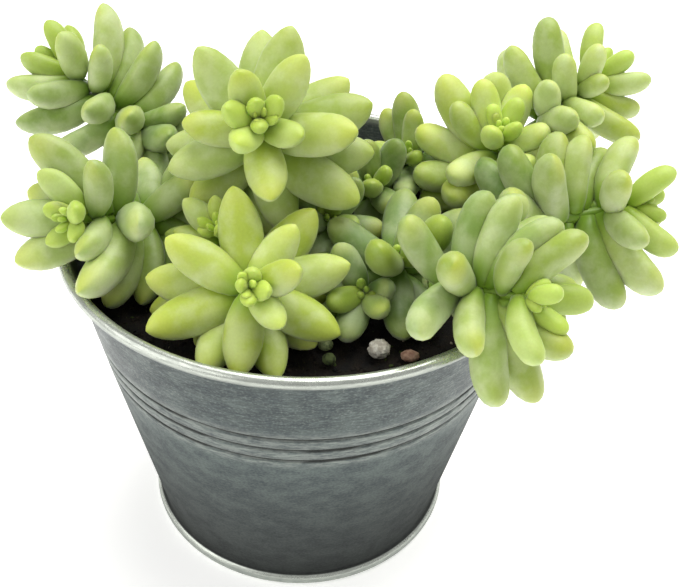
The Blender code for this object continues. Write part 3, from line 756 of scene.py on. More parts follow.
def zinc_material(settings):
    """Galvanised sheet: cloudy zinc, drawn streaks, bright metal where it is rubbed with a painted
    highlight along the rim's crest and the bead, a painted dark line along the bead, and painted
    shade in the grooves and down the inside.
    """
    material, web, shader = new_material("galvanised_sheet", Specular_IOR_Level=0.5)
    cloud, grain = mottled(web, 150.0, 1500.0, 1.6, 3.0)
    streak, drawn = mottled(web, 260.0, 520.0, 6.0, 9.0)
    height = web.parts(web.make("ShaderNodeTexCoord", out="Object"))[2]
    patches = (0.85 * cloud + grain + 0.55 * drawn) / 2.5
    colour = web.blend(patches, settings.dark_zinc, settings.pale_zinc)
    low, high = GROOVE_HEIGHTS[0], GROOVE_HEIGHTS[-1]
    band = height.ramp(low - 0.004, low - 0.001) * height.ramp(high + 0.001, high + 0.003, 1.0, 0.0)
    colour = web.blend(band * streak.ramp(0.0, 1.0, 0.06, 0.24), colour, settings.bright_zinc_and_highlight)
    collar = height.ramp(high + 0.002, high + 0.005)
    colour = web.blend(collar * streak.ramp(0.3, 0.9, 0.34, 0.0), colour, SCUFF)
    colour = web.blend(collar * grain.ramp(0.80, 1.00, 0.0, 0.10), colour, settings.bright_zinc_and_highlight)
    # Painted highlight, partly rubbed metal: the rim's crest and the bead are brightened, the bead
    # with a painted dark line along its middle; outside only.
    top = height.ramp(POT_HEIGHT - 0.0036, POT_HEIGHT - 0.0004)
    bead = height.ramp(0.0040, 0.0052, 1.0, 0.0)
    painted_bead_dark_line = height.ramp(0.0008, 0.0018) * height.ramp(0.0024, 0.0036, 1.0, 0.0)
    rubbed_and_highlight = web.math("MAXIMUM", top, bead - 0.35 * painted_bead_dark_line) * streak.ramp(0.0, 1.0, 0.80, 1.0)
    outside = 1.0 - web.attribute("wall_inside")
    colour = web.blend(rubbed_and_highlight * outside, colour, settings.bright_zinc_and_highlight)
    # Painted shade: the grooves and the inside of the wall are darkened, made less metallic and
    # rougher.
    painted_shade = web.attribute("wall_dirt")
    colour = web.blend(0.85 * painted_shade, colour, PAINTED_SHADE_TONE)
    web.feed(shader["Metallic"], web.clamp(0.8 - painted_shade))
    rough = settings.roughness + 0.08 - 0.18 * patches - 0.14 * rubbed_and_highlight + 0.4 * painted_shade
    finish_skin(web, shader, colour, web.clamp(rough), (260.0, 2600.0, 0.35, 0.25, 0.0002))
    return material


def wall_state(spot):
    """Whether this point of the wall is inside the pot, and how much painted shade it gets: darker
    down the inside below the rim, and a little in the grooves.
    """
    gap = wall_radius(spot.z) - math.hypot(spot.x, spot.y)
    if gap > 0.5 * SHEET and spot.z < POT_HEIGHT - RIM_ROLL:
        return 1.0, min(max((POT_HEIGHT - 0.002 - spot.z) / 0.006, 0.0), 1.0)
    # Painted shade in the grooves, deepest at their middle.
    in_groove = min(max(gap / GROOVE_DEPTH, 0.0), 1.0) * 0.18
    return 0.0, in_groove * (spot.z > 3 * BEAD_ROLL)


class PLANT_OT_add_pot(bpy.types.Operator):
    """Adds the galvanised wall with its rolled rim, grooves and bead, and its pressed base"""

    bl_idname = "plant.add_pot"
    bl_label = "Add Pot"

    def execute(self, context):
        settings = context.scene.pot_look
        material = zinc_material(settings)
        wall = turned(wall_outline(), settings.sides)
        dent_sheet(wall, settings.dent)
        wall = mesh_from(wall, "zinc_wall", material)
        base = turned(base_outline(), settings.sides, closed=False)
        base = mesh_from(base, "zinc_base", material)
        states = [wall_state(vertex.co - POT_AXIS) for vertex in wall.vertices]
        # The hidden base takes some painted shade too.
        hidden = [(1.0, 0.35)] * len(base.vertices)
        for mesh, rows, node in ((wall, states, "pot_wall"), (base, hidden, "pot_base")):
            for field, values in zip(("wall_inside", "wall_dirt"), zip(*rows)):
                store(mesh, field, values)
            plain_piece(mesh.name, mesh, node)
        return {"FINISHED"}


# ---- soil ----


def inner_wall_radius(height):
    """Clear inner radius at this height, past the back of the grooves."""
    return wall_radius(height) - SHEET - GROOVE_DEPTH - GAP


def soil_material(settings):
    """Dark damp soil with dry crumbs, a little moss and some pale grit."""
    material, web, shader = new_material("potting_soil", Specular_IOR_Level=0.3)
    patches, grain = mottled(web, 350.0, 2400.0, 1.0, 5.0)
    luck = web.attribute("crumb_luck")
    dry = web.clamp((0.4 * grain + 0.7 * luck) * patches)
    colour = web.blend(dry, settings.dark, settings.light)
    colour = web.blend(luck.ramp(0.970, 0.975), colour, tone("a59c88"))
    colour = web.blend(0.6 * luck.ramp(0.10, 0.09), colour, tone("4e5f2c"))
    rough = patches.ramp(0.0, 1.0, 0.75, 0.95)
    finish_skin(web, shader, colour, rough, (900.0, 4200.0, 0.6, 0.8, 0.0005))
    return material


def crumb_tree():
    """Strews crumbs over the top of the soil and joins them to it."""
    web, given = geometry_tree("soil_crumbs", Density=150000.0, Crumb_Size=0.0016, Seed=0)

    def random_number(least, seed):
        return web.make("FunctionNodeRandomValue", {2: least, 3: 1.0, "Seed": seed}, 1)

    def random_vector(least, most, seed):
        return web.make(
            "FunctionNodeRandomValue", {"Min": least, "Max": most, "Seed": seed},
            data_type="FLOAT_VECTOR",
        )

    strewn = web.make(
        "GeometryNodeDistributePointsOnFaces",
        {"Mesh": given["Geometry"], "Selection": web.named("soil_top"),
         "Density": given["Density"], "Seed": given["Seed"]},
    )
    turn = random_vector((0.0, 0.0, 0.0), (6.283, 6.283, 6.283), 11)
    size = random_vector((0.35, 0.35, 0.30), (1.0, 1.0, 0.75), 12)
    spread = random_number(0.30, 13) ** 2.0 * given["Crumb Size"]
    crumbs = web.placed_copies(
        Points=web.stored(strewn, "crumb_luck", random_number(0.0, 14)),
        Instance=web.make("GeometryNodeMeshIcoSphere", {"Radius": 0.5, "Subdivisions": 1}),
        Rotation=turn, Scale=web.scaled(size, spread),
    )
    place = web.make("GeometryNodeInputPosition")
    rough = web.make(
        "ShaderNodeTexNoise", {"Vector": place, "Scale": 1400.0, "Detail": 1.0}, "Color"
    )
    shift = web.scaled(web.vector("SUBTRACT", rough, (0.5, 0.5, 0.5)), 0.0009)
    crumbs = web.moved(crumbs, Offset=shift)
    return close_tree(web, given, web.joined(given["Geometry"], crumbs))


class PLANT_OT_add_soil(bpy.types.Operator):
    """Adds the packed soil with its crumbly top"""

    bl_idname = "plant.add_soil"
    bl_label = "Add Soil"

    def execute(self, context):
        settings = context.scene.soil_look
        floor = BASE_HEIGHT + BASE_THICKNESS + GAP
        foot = BEAD_RADIUS - 2 * BEAD_ROLL - GAP
        edge = inner_wall_radius(SOIL_LEVEL)
        outline = [(0.0, floor), (foot, floor), (inner_wall_radius(0.005), 0.005)]
        outline += [(edge, SOIL_LEVEL - 0.0006), (edge - 0.0005, SOIL_LEVEL)]
        for share in np.linspace(0.97, 0.0, 34):
            outline.append((edge * share, SOIL_LEVEL + SOIL_CROWN * (1 - share**2)))
        builder = turned(outline, settings.sides, closed=False)
        for vertex in builder.verts:
            spread = math.hypot(vertex.co.x, vertex.co.y)
            if vertex.co.z > SOIL_LEVEL - 0.0001 and spread < edge - 0.0002:
                lump = noise.fractal(vertex.co * 160, 0.8, 2.1, 4)
                vertex.co.z += max(-LUMP_LIMIT, min(LUMP_LIMIT, LUMP_HEIGHT * lump))
        seed_mesh = mesh_from(builder, "soil_body")
        bottom = SOIL_LEVEL - LUMP_LIMIT - 0.0001
        tops = [
            float(v.co.z > bottom and (v.co - POT_AXIS).xy.length < edge - CRUMB_MARGIN)
            for v in seed_mesh.vertices
        ]
        store(seed_mesh, "soil_top", tops)
        store(seed_mesh, "crumb_luck", [0.3] * len(tops))
        mesh = grown_mesh(
            "earth", seed_mesh, crumb_tree(), Density=settings.density,
            Crumb_Size=settings.crumb, Seed=settings.seed, Material=soil_material(settings),
        )
        plain_piece("earth", mesh, "soil")
        return {"FINISHED"}


# ---- granules ----

# Each granule: how lumpy it is, how fine its lumps are, and its two colours.
GRANULE_LOOKS = {
    "granule_pale": (0.26, 3.4, "e9e6da", "b7b0a4"),
    "granule_brown": (0.14, 2.2, "7d5646", "ab8a76"),
    "granule_dark": (0.12, 1.9, "2d3322", "59663c"),
    "granule_grey": (0.12, 1.9, "4c5a35", "8b9668"),
}
GRANULE_STEP = Vector((7.3, 1.9, 4.1))


def granule_material(name, first, second):
    material, web, shader = new_material(name + "_stone", Specular_IOR_Level=0.35)
    patches, grain = mottled(web, 700.0, 3000.0, 1.0, 2.0)
    colour = web.blend(web.clamp(0.4 * grain + patches), tone(first), tone(second))
    rough = grain.ramp(0.0, 1.0, 0.7, 0.95)
    finish_skin(web, shader, colour, rough, (1500.0, 6000.0, 0.5, 0.7, 0.0003))
    return material


class PLANT_OT_add_granules(bpy.types.Operator):
    """Adds the loose granules that lie on the soil"""

    bl_idname = "plant.add_granules"
    bl_label = "Add Granules"

    def execute(self, context):
        for order, (name, look) in enumerate(GRANULE_LOOKS.items()):
            lump, fineness, first, second = look
            low, high = (Vector(corner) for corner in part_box(name))
            middle, half = (low + high) / 2, (high - low) / 2
            builder = bmesh.new()
            bmesh.ops.create_icosphere(builder, subdivisions=4, radius=1.0)
            for vertex in builder.verts:
                spot = vertex.co * fineness + GRANULE_STEP * (order + 1)
                nearest = noise.voronoi(spot)[0][0]
                rise = 1 - lump * min(nearest, 1.0) + 0.05 * noise.noise(spot * 2.3)
                vertex.co = vertex.co * rise * half
            mesh = mesh_from(builder, name + "_pebble", granule_material(name, first, second))
            mesh.transform(Matrix.Translation(middle - POT_AXIS))
            plain_piece(name + "_pebble", mesh, name)
        return {"FINISHED"}


# ---- plant layout ----


def unit(vectors):
    return vectors / np.linalg.norm(vectors, axis=-1, keepdims=True)


def shoot_frame(shoot):
    """Axis of a shoot, its level side and its upper side, as unit vectors."""
    heading, rise = math.radians(shoot.heading), math.radians(shoot.rise)
    level = math.cos(rise)
    axis = np.array((level * math.cos(heading), level * math.sin(heading), math.sin(rise)))
    side = unit(np.cross((0.0, 0.0, 1.0), axis))
    return axis, side, np.cross(axis, side)


def outward_at(shoot, turn):
    """The direction square to a shoot's axis at this turn round it."""
    side, top = shoot_frame(shoot)[1:]
    return top * math.cos(turn) + side * math.sin(turn)


def head_length(shoot):
    """Length of the fleshy axis that carries the leaves."""
    return (len(shoot.leaves) * shoot.spacing + HEAD_FOOT) * MM


def head_girth(shoot, back):
    share = back / head_length(shoot)
    return (HEAD_TIP_GIRTH + (HEAD_FOOT_GIRTH - HEAD_TIP_GIRTH) * min(share, 1.0)) * MM


def head_spot(shoot, back):
    """The point of the fleshy axis this far back from its tip."""
    return np.array(shoot.tip) * MM - shoot_frame(shoot)[0] * back


def stem_route(shoot):
    """Middle line of the bare stem: from under the leafy head it bends down into the soil."""
    axis = shoot_frame(shoot)[0]
    start = head_spot(shoot, head_length(shoot) + GAP)
    end = np.array((*(np.array(shoot.root) * MM), SOIL_LEVEL + 0.001))
    reach = np.linalg.norm(end - start)
    down = np.array((0.0, 0.0, -1.0))
    points = []
    for share in np.linspace(0.0, 1.0, STEM_POINTS):
        ease = 3 * share**2 - 2 * share**3
        leave = STEM_EASE * (share**3 - 2 * share**2 + share)
        arrive = share**3 - share**2
        points.append(
            start + (end - start) * ease - axis * reach * leave + down * reach * arrive
        )
    foot = (end[0], end[1], SOIL_LEVEL - PLANTED_DEPTH)
    return np.array([*points, foot])


def leaf_half_width(share):
    """Half-width at this share of a leaf's length, as a share of its greatest half-width."""
    place = LEAF_NECK + (1 - LEAF_NECK) * share**LEAF_TIPWARD
    return (1 - abs(2 * place - 1) ** LEAF_FULLNESS) ** LEAF_ROUNDNESS


def planned_leaves():
    """All leaves as arrays: shoot number, base point, direction, axis, length and half-width."""
    rows = []
    for number, shoot in enumerate(SHOOTS.values()):
        axis = shoot_frame(shoot)[0]
        for place, (turn, lean, length) in enumerate(shoot.leaves):
            outward = outward_at(shoot, math.radians(turn))
            back = (place + 0.5) * shoot.spacing * MM
            base = head_spot(shoot, back) + outward * head_girth(shoot, back) * 0.4
            lean = math.radians(lean)
            direction = axis * math.cos(lean) + outward * math.sin(lean)
            width = FULL_LEAF_WIDTH * (length / FULL_LEAF_LENGTH) ** WIDTH_POWER * shoot.plump
            rows.append((number, base, direction, axis, length * MM, 0.5 * width * MM))
    return [np.array(column) for column in zip(*rows)]


def inward_normals(directions, axes):
    """The upper side of each leaf: square to it, turned towards the axis of its shoot."""
    along = (directions * axes).sum(axis=-1, keepdims=True)
    return unit(axes - directions * along)


def bowed(bases, directions, inward, lengths, share):
    """Points on the bowed middle lines at this share of the length."""
    slope = LEAF_BEND * (share - 0.5)
    radius = lengths / (2 * math.sin(LEAF_BEND / 2))
    along = lengths / 2 + radius * math.sin(slope)
    sag = radius * (math.cos(slope) - math.cos(LEAF_BEND / 2))
    return bases + directions * along[..., None] - inward * sag[..., None]


def fixed_obstacles():
    """Owner, centre and radius of the axes, stems and rolled rim that leaves make room for."""
    rows = []
    for number, shoot in enumerate(SHOOTS.values()):
        for back in np.arange(0.0, head_length(shoot), 2 * MM):
            rows.append((number, head_spot(shoot, back), head_girth(shoot, back)))
        for place, point in enumerate(stem_route(shoot)):
            rows.append((-1 if place > 1 else number, point, STEM_RADIUS))
    roll, level = RIM_RADIUS - RIM_ROLL, POT_HEIGHT - RIM_ROLL
    for turn in np.radians(np.arange(0, 360, 2.5)):
        rows.append((-1, (roll * math.cos(turn), roll * math.sin(turn), level), RIM_ROLL))
    return [np.array(column) for column in zip(*rows)]


def wall_and_soil_push(centres, radii):
    """How far each probe must move to stay off the pot wall and above the soil."""
    push = np.zeros_like(centres)
    height = centres[:, 2]
    spread = np.hypot(centres[:, 0], centres[:, 1])
    below_rim = height < POT_HEIGHT
    beyond = spread - wall_radius(height)
    inside = below_rim & (beyond < 0)
    outside = below_rim & (beyond >= 0)
    inner_clear = np.maximum(radii + SHEET + ROOM + beyond, 0) * inside
    outer_clear = np.maximum(radii + ROOM - beyond, 0) * outside
    outward = centres[:, :2] / np.maximum(spread, 1e-6)[:, None]
    push[:, :2] = outward * (outer_clear - inner_clear)[:, None]
    over_soil = inside | ((spread < RIM_RADIUS) & ~below_rim)
    push[:, 2] = np.maximum(SOIL_LEVEL + SOIL_CROWN + radii + ROOM - height, 0) * over_soil
    return push


def pressed_off(centres, others, reach, share):
    """How far points are pressed away from the others that lie within reach of them."""
    apart = centres[:, None] - others[None]
    distance = np.linalg.norm(apart, axis=2) + 1e-9
    press = np.maximum(reach - distance, 0) / distance * share
    return (apart * press[..., None]).sum(axis=1)


def eased_directions(owners, bases, directions, axes, lengths, half_widths):
    """Leans crowded leaves apart, as leaves that grow against each other do."""
    radii = (half_widths[:, None] * leaf_half_width(PROBES)[None] * PROBE_GIRTH).ravel()
    probe_owner = np.repeat(owners, len(PROBES))
    leaf_of = np.repeat(np.arange(len(owners)), len(PROBES))
    same_shoot = probe_owner[:, None] == probe_owner[None]
    reach = radii[:, None] + radii[None]
    reach = np.where(same_shoot, reach * OWN_SHOOT_SHARE, reach + ROOM)
    reach[leaf_of[:, None] == leaf_of[None]] = 0
    fixed_owner, fixed, fixed_radii = fixed_obstacles()
    fixed_reach = radii[:, None] + fixed_radii[None] + ROOM
    fixed_reach[probe_owner[:, None] == fixed_owner[None]] = 0
    wished = directions.copy()
    for _ in range(EASE_ROUNDS):
        inward = inward_normals(directions, axes)
        rows = [bowed(bases, directions, inward, lengths, share) for share in PROBES]
        centres = np.stack(rows, axis=1).reshape(-1, 3)
        push = pressed_off(centres, centres, reach, 0.5)
        push += pressed_off(centres, fixed, fixed_reach, 1.0)
        push += wall_and_soil_push(centres, radii)
        turning = (push.reshape(len(owners), -1, 3) * PROBES[None, :, None]).sum(axis=1)
        directions = directions + EASE_GAIN * turning / lengths[:, None]
        directions = unit(directions + EASE_RETURN * (wished - directions))
    return directions


# ---- stems ----


def stem_tree():
    """A stem along a line of points, knobbly with the scars of fallen leaves."""
    web, given = geometry_tree(
        "scarred_stem", Sides=16, Step=0.0007, Scar_Spacing=0.0022, Scar_Height=0.0002
    )
    curve = web.make("GeometryNodeMeshToCurve", {0: given["Geometry"]})
    curve = web.make(
        "GeometryNodeResampleCurve", {"Curve": curve, "Length": given["Step"]}, mode="LENGTH"
    )
    tube = web.tube(curve, given["Sides"])
    cells = web.make(
        "ShaderNodeTexVoronoi", {"Scale": 1.0 / given["Scar Spacing"], "Randomness": 0.6}
    )
    tube = web.stored(tube, "scar", cells.ramp(0.12, 0.42, 1.0, 0.0))
    rise = web.named("scar") * given["Scar Height"]
    tube = web.moved(tube, Offset=web.scaled(web.make("GeometryNodeInputNormal"), rise))
    return close_tree(web, given, tube)


def stem_material(settings):
    """Corky skin that turns from green under the leaves to brown at the soil."""
    material, web, shader = new_material(
        "corky_stem", Specular_IOR_Level=0.35, Subsurface_Weight=0.05,
        Subsurface_Radius=(0.6, 0.5, 0.2), Subsurface_Scale=0.001,
    )
    patches, grain = mottled(web, 500.0, 2500.0, 0.5, 4.0)
    age = 0.4 * patches + web.attribute("stem_age")
    colour = web.blend(age.ramp(0.35, 1.1), settings.green, settings.brown)
    colour = web.blend(0.6 * web.attribute("scar"), colour, tone("c3b48d"))
    colour = web.blend(0.25 * grain, colour, tone("4c4630"))
    rough = grain.ramp(0.0, 1.0, 0.6, 0.85)
    finish_skin(web, shader, colour, rough, (1200.0, 5000.0, 0.4, 0.5, 0.0002))
    return material


class PLANT_OT_add_stems(bpy.types.Operator):
    """Adds the bare stems, from under each leafy head down into the soil"""

    bl_idname = "plant.add_stems"
    bl_label = "Add Stems"

    def execute(self, context):
        settings = context.scene.stem_look
        material = stem_material(settings)
        tree = stem_tree()
        for name, shoot in SHOOTS.items():
            route = stem_route(shoot)
            builder = bmesh.new()
            add_line(builder, route)
            seed_mesh = mesh_from(builder, name + "_route")
            store(seed_mesh, "girth", [STEM_RADIUS - settings.scar_height] * len(route))
            store(seed_mesh, "stem_age", np.linspace(0.0, 1.0, len(route)))
            mesh = grown_mesh(
                "stalk_" + name, seed_mesh, tree, Sides=settings.sides,
                Scar_Spacing=settings.scar_step, Scar_Height=settings.scar_height,
                Material=material,
            )
            plain_piece("stalk_" + name, mesh, "stem_" + name)
        return {"FINISHED"}


# ---- leaves ----

BUD_RING = 0.965
FIRST_TURN = 0.35


def leaf_blank(web, given):
    """A capped tube that carries its place round and along a leaf; its rings crowd to the tip."""
    tube = web.make(
        "GeometryNodeMeshCylinder",
        {"Vertices": given["Sides"], "Side Segments": given["Rings"], "Radius": 1.0, "Depth": 1.0},
        fill_type="TRIANGLE_FAN",
    )
    place = web.make("GeometryNodeInputPosition")
    flank, face, height = web.parts(place)
    flat = web.vector("MULTIPLY", place, (1.0, 1.0, 0.0))
    on_rim = web.vector("LENGTH", flat, out="Value")
    step = (height + 0.5) * ((BUD_RING - 1.0) * on_rim + 1.0)
    angle = step * (math.pi * (1 - FIRST_TURN)) + math.pi * FIRST_TURN
    start = math.cos(math.pi * FIRST_TURN)
    along = (start - web.math("COSINE", angle)) / (start + 1)
    for name, value in (("leaf_along", along), ("leaf_flank", flank), ("leaf_face", face)):
        tube = web.stored(tube, name, value)
    return tube


def leaf_profile(web, along, bluntness):
    """Half-width of a leaf along its length, as a share of its greatest half-width."""
    tipward = 0.28 * bluntness + 1.02
    fullness = 0.85 * bluntness + 2.15
    roundness = -0.16 * bluntness + 0.66
    place = along ** tipward * (1 - LEAF_NECK) + LEAF_NECK
    off_middle = web.math("ABSOLUTE", place * 2.0 - 1.0)
    return web.clamp(1.0 - off_middle ** fullness) ** roundness


def leaf_points(web, given):
    """Where each point of the blank lies on its own leaf."""
    along, length = web.named("leaf_along"), web.named("leaf_length")
    blunt, face = web.named("bluntness"), web.named("leaf_face")
    growth, inner = web.named("growth", "FLOAT_VECTOR"), web.named("inner_side", "FLOAT_VECTOR")
    half = leaf_profile(web, along, blunt) * web.named("half_width")
    slope, half_bend = (along - 0.5) * given["Bend"], given["Bend"] * 0.5
    radius = length / web.math("SINE", half_bend) * 0.5
    sine, cosine = web.math("SINE", slope), web.math("COSINE", slope)
    sag = radius * (cosine - web.math("COSINE", half_bend))
    flatness = (0.14 * blunt + given["Flatness"]) * face.ramp(-0.3, 0.3, 1.06, 0.82)
    keenness = web.clamp(0.35 - 0.35 * blunt)
    depth = face * web.math("ABSOLUTE", face) ** keenness * half * flatness
    forward = radius * sine + length * 0.5 - depth * sine
    inward = depth * cosine - sag
    across = web.vector("CROSS_PRODUCT", growth, inner)
    width = web.named("leaf_flank") * half
    point = web.named("leaf_base", "FLOAT_VECTOR")
    for direction, distance in ((growth, forward), (inner, inward), (across, width)):
        point = web.vector("ADD", point, web.scaled(direction, distance))
    return point


def head_tree():
    """A leafy head: a bowed plump leaf on each seed point, round the fleshy axis."""
    web, given = geometry_tree(
        "leafy_head", Sides=14, Rings=11, Bend=LEAF_BEND, Flatness=0.8, Dimple=0.0002
    )
    leaf_spots, axis_line = (
        Value(web, half) for half in web.node(
            "GeometryNodeSeparateGeometry",
            {"Geometry": given["Geometry"], "Selection": web.named("is_leaf")},
        )
    )
    leaves = web.placed_copies(Points=leaf_spots, Instance=leaf_blank(web, given))
    leaves = web.moved(leaves, Position=leaf_points(web, given))
    normal = web.make("GeometryNodeInputNormal")
    dent = web.make("ShaderNodeTexNoise", {"Scale": 170.0, "Detail": 1.0})
    dent = (dent - 0.5) * given["Dimple"] * 2.0
    leaves = web.moved(leaves, Offset=web.scaled(normal, dent))
    place = web.make("GeometryNodeInputPosition")
    for limit, corner in (("MAXIMUM", CAD_BOX[0]), ("MINIMUM", CAD_BOX[1])):
        place = web.vector(limit, place, tuple(corner))
    leaves = web.moved(leaves, Position=place)
    # The upward share of each normal, which the leaf material uses to paint upward faces paler as
    # lit from above.
    leaves = web.stored(leaves, "skyward", web.parts(normal)[2])
    axis = web.tube(web.make("GeometryNodeMeshToCurve", {0: axis_line}), given["Sides"])
    return close_tree(web, given, web.joined(leaves, axis))


def leaf_material(settings):
    """Plump skin under a powdery bloom: rubbed and painted darker at the base, clear at the rims
    with a painted yellow-green glow, flushed tips; upward faces painted paler as lit, and shoots
    given little sun painted darker as shaded.
    """
    material, web, shader = new_material(
        "waxy_leaf", Specular_IOR_Level=0.45, Subsurface_Weight=0.35,
        Subsurface_Radius=(0.7, 1.0, 0.25), Subsurface_Scale=0.003,
        Sheen_Weight=0.20, Sheen_Roughness=0.4,
    )
    patches, grain = mottled(web, 190.0, 1900.0, 1.0, 1.0)
    along, face, age, luck, shoot_sun = (
        web.attribute(name)
        for name in ("leaf_along", "leaf_face", "leaf_age", "leaf_luck", "shoot_sun")
    )
    second_luck = web.math("FRACT", 7.31 * luck)
    # Painted light and shade, partly real sun colour: shoots given little sun take the shady green.
    sun = web.clamp(shoot_sun - 0.1 + 0.5 * luck - 0.45 * age)
    colour = web.blend(sun, settings.shade_grown_and_painted_shade, settings.sun_grown_and_painted_lit)
    # Painted light: faces that point up are painted paler, besides the real waxy bloom in patches.
    painted_top_light = web.attribute("skyward").ramp(-0.5, 0.9)
    # Painted rim light: where the skin turns away from the camera the bloom thins, as a painted glow
    # of light through the rims.
    edge = web.make("ShaderNodeLayerWeight", {"Blend": 0.35}, "Facing")
    bloom_and_painted_light = 0.62 * painted_top_light - 0.06 + 0.34 * patches + 0.28 * second_luck
    bloom_and_painted_light = bloom_and_painted_light * edge.ramp(0.35, 0.95, 1.0, 0.35)
    bloom_and_painted_light = web.clamp(bloom_and_painted_light * along.ramp(0.08, 0.45, 0.25, 1.0))
    colour = web.blend(bloom_and_painted_light, colour, settings.bloom_and_painted_light)
    # Painted shade in the crevices at each leaf base, partly wax rubbed off.
    colour = web.blend(along.ramp(0.0, 0.40, 0.85, 0.0), colour, settings.bare)
    tip = along.ramp(0.62, 1.0) * face.ramp(-1.0, 0.9) * luck.ramp(0.0, 1.0, 0.25, 0.8)
    colour = web.blend(tip, colour, settings.tip)
    colour = web.blend(age.ramp(0.06, 0.24, 0.8, 0.0), colour, settings.bud)
    # Painted glow at the rims of upward faces, in the tip colour.
    colour = web.blend(edge.ramp(0.60, 0.95, 0.0, 0.5) * painted_top_light, colour, settings.tip)
    # Painted shade: shoots given little sun are darkened as a whole, besides random tone from luck
    # and grain.
    shade = 0.24 * shoot_sun + 0.61 + 0.16 * second_luck + 0.05 * grain
    grey = web.make("ShaderNodeCombineColor", {0: shade, 1: shade, 2: shade})
    colour = web.blend(1.0, colour, grey, "MULTIPLY")
    finish_skin(web, shader, colour, 0.28 * bloom_and_painted_light + 0.40, (500.0, 3500.0, 0.25, 0.15, 0.0002))
    return material


def tip_buds(shoot):
    """The tiny unopened leaves at the very tip: base, direction, axis, length, half-width."""
    axis = shoot_frame(shoot)[0]
    rows = []
    for place in range(TIP_BUDS):
        outward = outward_at(shoot, BUD_TURN * place + shoot.heading)
        lean = math.radians(9 + 8 * place)
        base = head_spot(shoot, BUD_STEP * place) + outward * BUD_OFFSET
        direction = axis * math.cos(lean) + outward * math.sin(lean)
        length = (3.2 + 0.7 * place) * MM
        rows.append((base, direction, axis, length, length * BUD_GIRTH))
    return rows


def head_seed(name, shoot, leaves, chance):
    """Seed points of a leafy head, with all that its leaves have to know, and its axis."""
    habit = HABITS[name]
    rows = tip_buds(shoot) + leaves
    bases, directions, axes, lengths, half_widths = (np.array(column) for column in zip(*rows))
    backs = np.linspace(0.0, head_length(shoot), 9)
    builder = bmesh.new()
    for base in bases:
        builder.verts.new(base)
    add_line(builder, [head_spot(shoot, back) for back in backs])
    mesh = mesh_from(builder, name + "_seed")
    ages = np.append(np.zeros(TIP_BUDS), np.linspace(0.0, 1.0, len(leaves)))
    lucks = chance.uniform(0.0, 1.0, len(rows))
    stray = BLUNTNESS_SPREAD * (chance.uniform(0, 1, len(rows)) - 0.5)
    blunts = np.clip(habit.bluntness + stray, 0, 1)
    for field, on_leaves, on_axis in (
        ("is_leaf", np.ones(len(rows)), 0.0),
        ("leaf_base", bases + np.array(POT_AXIS), 0.0),
        ("growth", directions, 0.0),
        ("inner_side", inward_normals(directions, axes), 0.0),
        ("leaf_length", lengths, 0.0),
        ("half_width", half_widths, 0.0),
        ("bluntness", blunts, 0.0),
        ("leaf_age", ages, np.linspace(0.2, 1.0, len(backs))),
        ("leaf_luck", lucks, 0.5),
        ("shoot_sun", np.full(len(rows), habit.sun), habit.sun),
        ("girth", np.zeros(len(rows)), [head_girth(shoot, back) for back in backs]),
    ):
        rest = np.zeros((len(backs), *on_leaves.shape[1:])) + on_axis
        store(mesh, field, np.concatenate([on_leaves, rest]))
    return mesh


class PLANT_OT_add_leafy_heads(bpy.types.Operator):
    """Adds every leafy head, with its leaves leaning apart where they are crowded"""

    bl_idname = "plant.add_leafy_heads"
    bl_label = "Add Leafy Heads"

    def execute(self, context):
        settings = context.scene.leaf_look
        material = leaf_material(settings)
        tree = head_tree()
        owners, bases, directions, axes, lengths, half_widths = planned_leaves()
        directions = eased_directions(owners, bases, directions, axes, lengths, half_widths)
        chance = np.random.default_rng(LUCK_SEED)
        for number, (name, shoot) in enumerate(SHOOTS.items()):
            mine = owners == number
            columns = (bases, directions, axes, lengths, half_widths)
            leaves = list(zip(*(column[mine] for column in columns)))
            mesh = grown_mesh(
                "head_" + name, head_seed(name, shoot, leaves, chance), tree,
                Sides=settings.sides, Rings=settings.rings, Bend=LEAF_BEND,
                Flatness=settings.flatness, Dimple=settings.dimple, Material=material,
            )
            plain_piece("head_" + name, mesh, "leaves_" + name)
        return {"FINISHED"}


# ---- stage ----

AIM = Vector((0.0, 0.0, 0.08))
LAMP_SIZE = 1.5
FLOOR_HALF_WIDTH = 4.0
SENSOR_WIDTH = 36.0
NEAREST_SEEN = 0.01
# Each lamp: where it stands, its power in watts and its colour.
LAMPS = {
    "window": ((0.30, 0.40, 1.40), 25.0, (1.0, 0.99, 0.96)),
    "left_fill": ((-1.1, -0.6, 0.8), 9.0, (1.0, 0.99, 0.97)),
}


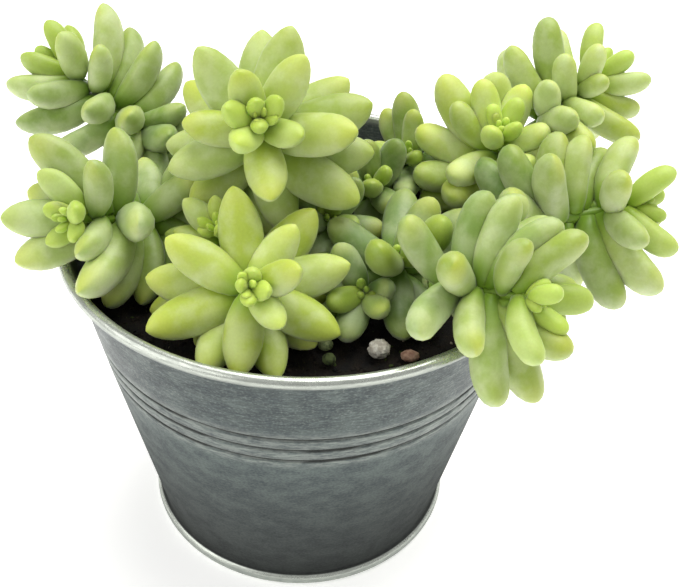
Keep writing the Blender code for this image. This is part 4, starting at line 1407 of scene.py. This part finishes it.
class PLANT_OT_add_stage(bpy.types.Operator):
    """Adds the pale floor, the soft studio light and the camera"""

    bl_idname = "plant.add_stage"
    bl_label = "Add Stage"

    def execute(self, context):
        settings = context.scene.stage_look
        self.add_floor(settings)
        self.add_light(context, settings)
        self.add_camera(context, settings)
        return {"FINISHED"}

    def add_floor(self, settings):
        builder = bmesh.new()
        bmesh.ops.create_grid(builder, x_segments=8, y_segments=8, size=FLOOR_HALF_WIDTH)
        mesh = bpy.data.meshes.new("studio_floor")
        builder.to_mesh(mesh)
        builder.free()
        shade = padded(settings.floor)
        paper = new_material(
            "studio_paper", Roughness=0.9, Base_Color=shade, Emission_Color=shade,
            Emission_Strength=settings.floor_glow,
        )[0]
        mesh.materials.append(paper)
        placed("studio_floor", mesh)

    def add_light(self, context, settings):
        for name, (place, power, colour) in LAMPS.items():
            light = bpy.data.lights.new(name, "AREA")
            light.shape = "DISK"
            light.size = LAMP_SIZE
            light.energy = power
            light.color = colour
            lamp = placed(name, light)
            lamp.location = place
            lamp.rotation_euler = (AIM - lamp.location).to_track_quat("-Z", "Y").to_euler()
        world = bpy.data.worlds.new("studio")
        world.use_nodes = True
        sky = world.node_tree.nodes["Background"].inputs
        sky["Color"].default_value = (1.0, 1.0, 1.0, 1.0)
        sky["Strength"].default_value = settings.sky_strength
        context.scene.world = world
        context.scene.view_settings.view_transform = "Standard"

    def add_camera(self, context, settings):
        lens = bpy.data.cameras.new("camera")
        lens.lens = settings.focal_length
        lens.sensor_width = SENSOR_WIDTH
        lens.clip_start = NEAREST_SEEN
        camera = placed("camera", lens)
        tilt = Matrix.Rotation(math.radians(90) - settings.camera_pitch, 4, "X")
        roll = Matrix.Rotation(settings.camera_roll, 4, "Z")
        camera.matrix_world = Matrix.Translation(settings.camera_place) @ tilt @ roll
        context.scene.camera = camera


# ---- add-on ----

OPERATORS = (
    PLANT_OT_add_pot, PLANT_OT_add_soil, PLANT_OT_add_granules, PLANT_OT_add_stems,
    PLANT_OT_add_leafy_heads, PLANT_OT_add_stage,
)
SETTINGS = {
    "pot_look": PotSettings,
    "leaf_look": LeafSettings,
    "stem_look": StemSettings,
    "soil_look": SoilSettings,
    "stage_look": StageSettings,
}


class VIEW3D_PT_plant(bpy.types.Panel):
    """Lists the settings and the steps that make the plant"""

    bl_label = "Potted Plant"
    bl_space_type = "VIEW_3D"
    bl_region_type = "UI"
    bl_category = "Plant"

    def draw(self, context):
        for name, group in SETTINGS.items():
            box = self.layout.box()
            box.label(text=name.replace("_", " ").capitalize())
            for look in group.__annotations__:
                box.prop(getattr(context.scene, name), look)
        for operator in OPERATORS:
            self.layout.operator(operator.bl_idname)


CLASSES = (*SETTINGS.values(), *OPERATORS, VIEW3D_PT_plant)


def register():
    for made in CLASSES:
        bpy.utils.register_class(made)
    for name, group in SETTINGS.items():
        setattr(bpy.types.Scene, name, bpy.props.PointerProperty(type=group))


def unregister():
    for name in SETTINGS:
        delattr(bpy.types.Scene, name)
    for made in reversed(CLASSES):
        bpy.utils.unregister_class(made)


def main():
    register()
    bpy.ops.plant.add_pot()
    bpy.ops.plant.add_soil()
    bpy.ops.plant.add_granules()
    bpy.ops.plant.add_stems()
    bpy.ops.plant.add_leafy_heads()
    bpy.ops.plant.add_stage()


if __name__ == "__main__":
    main()
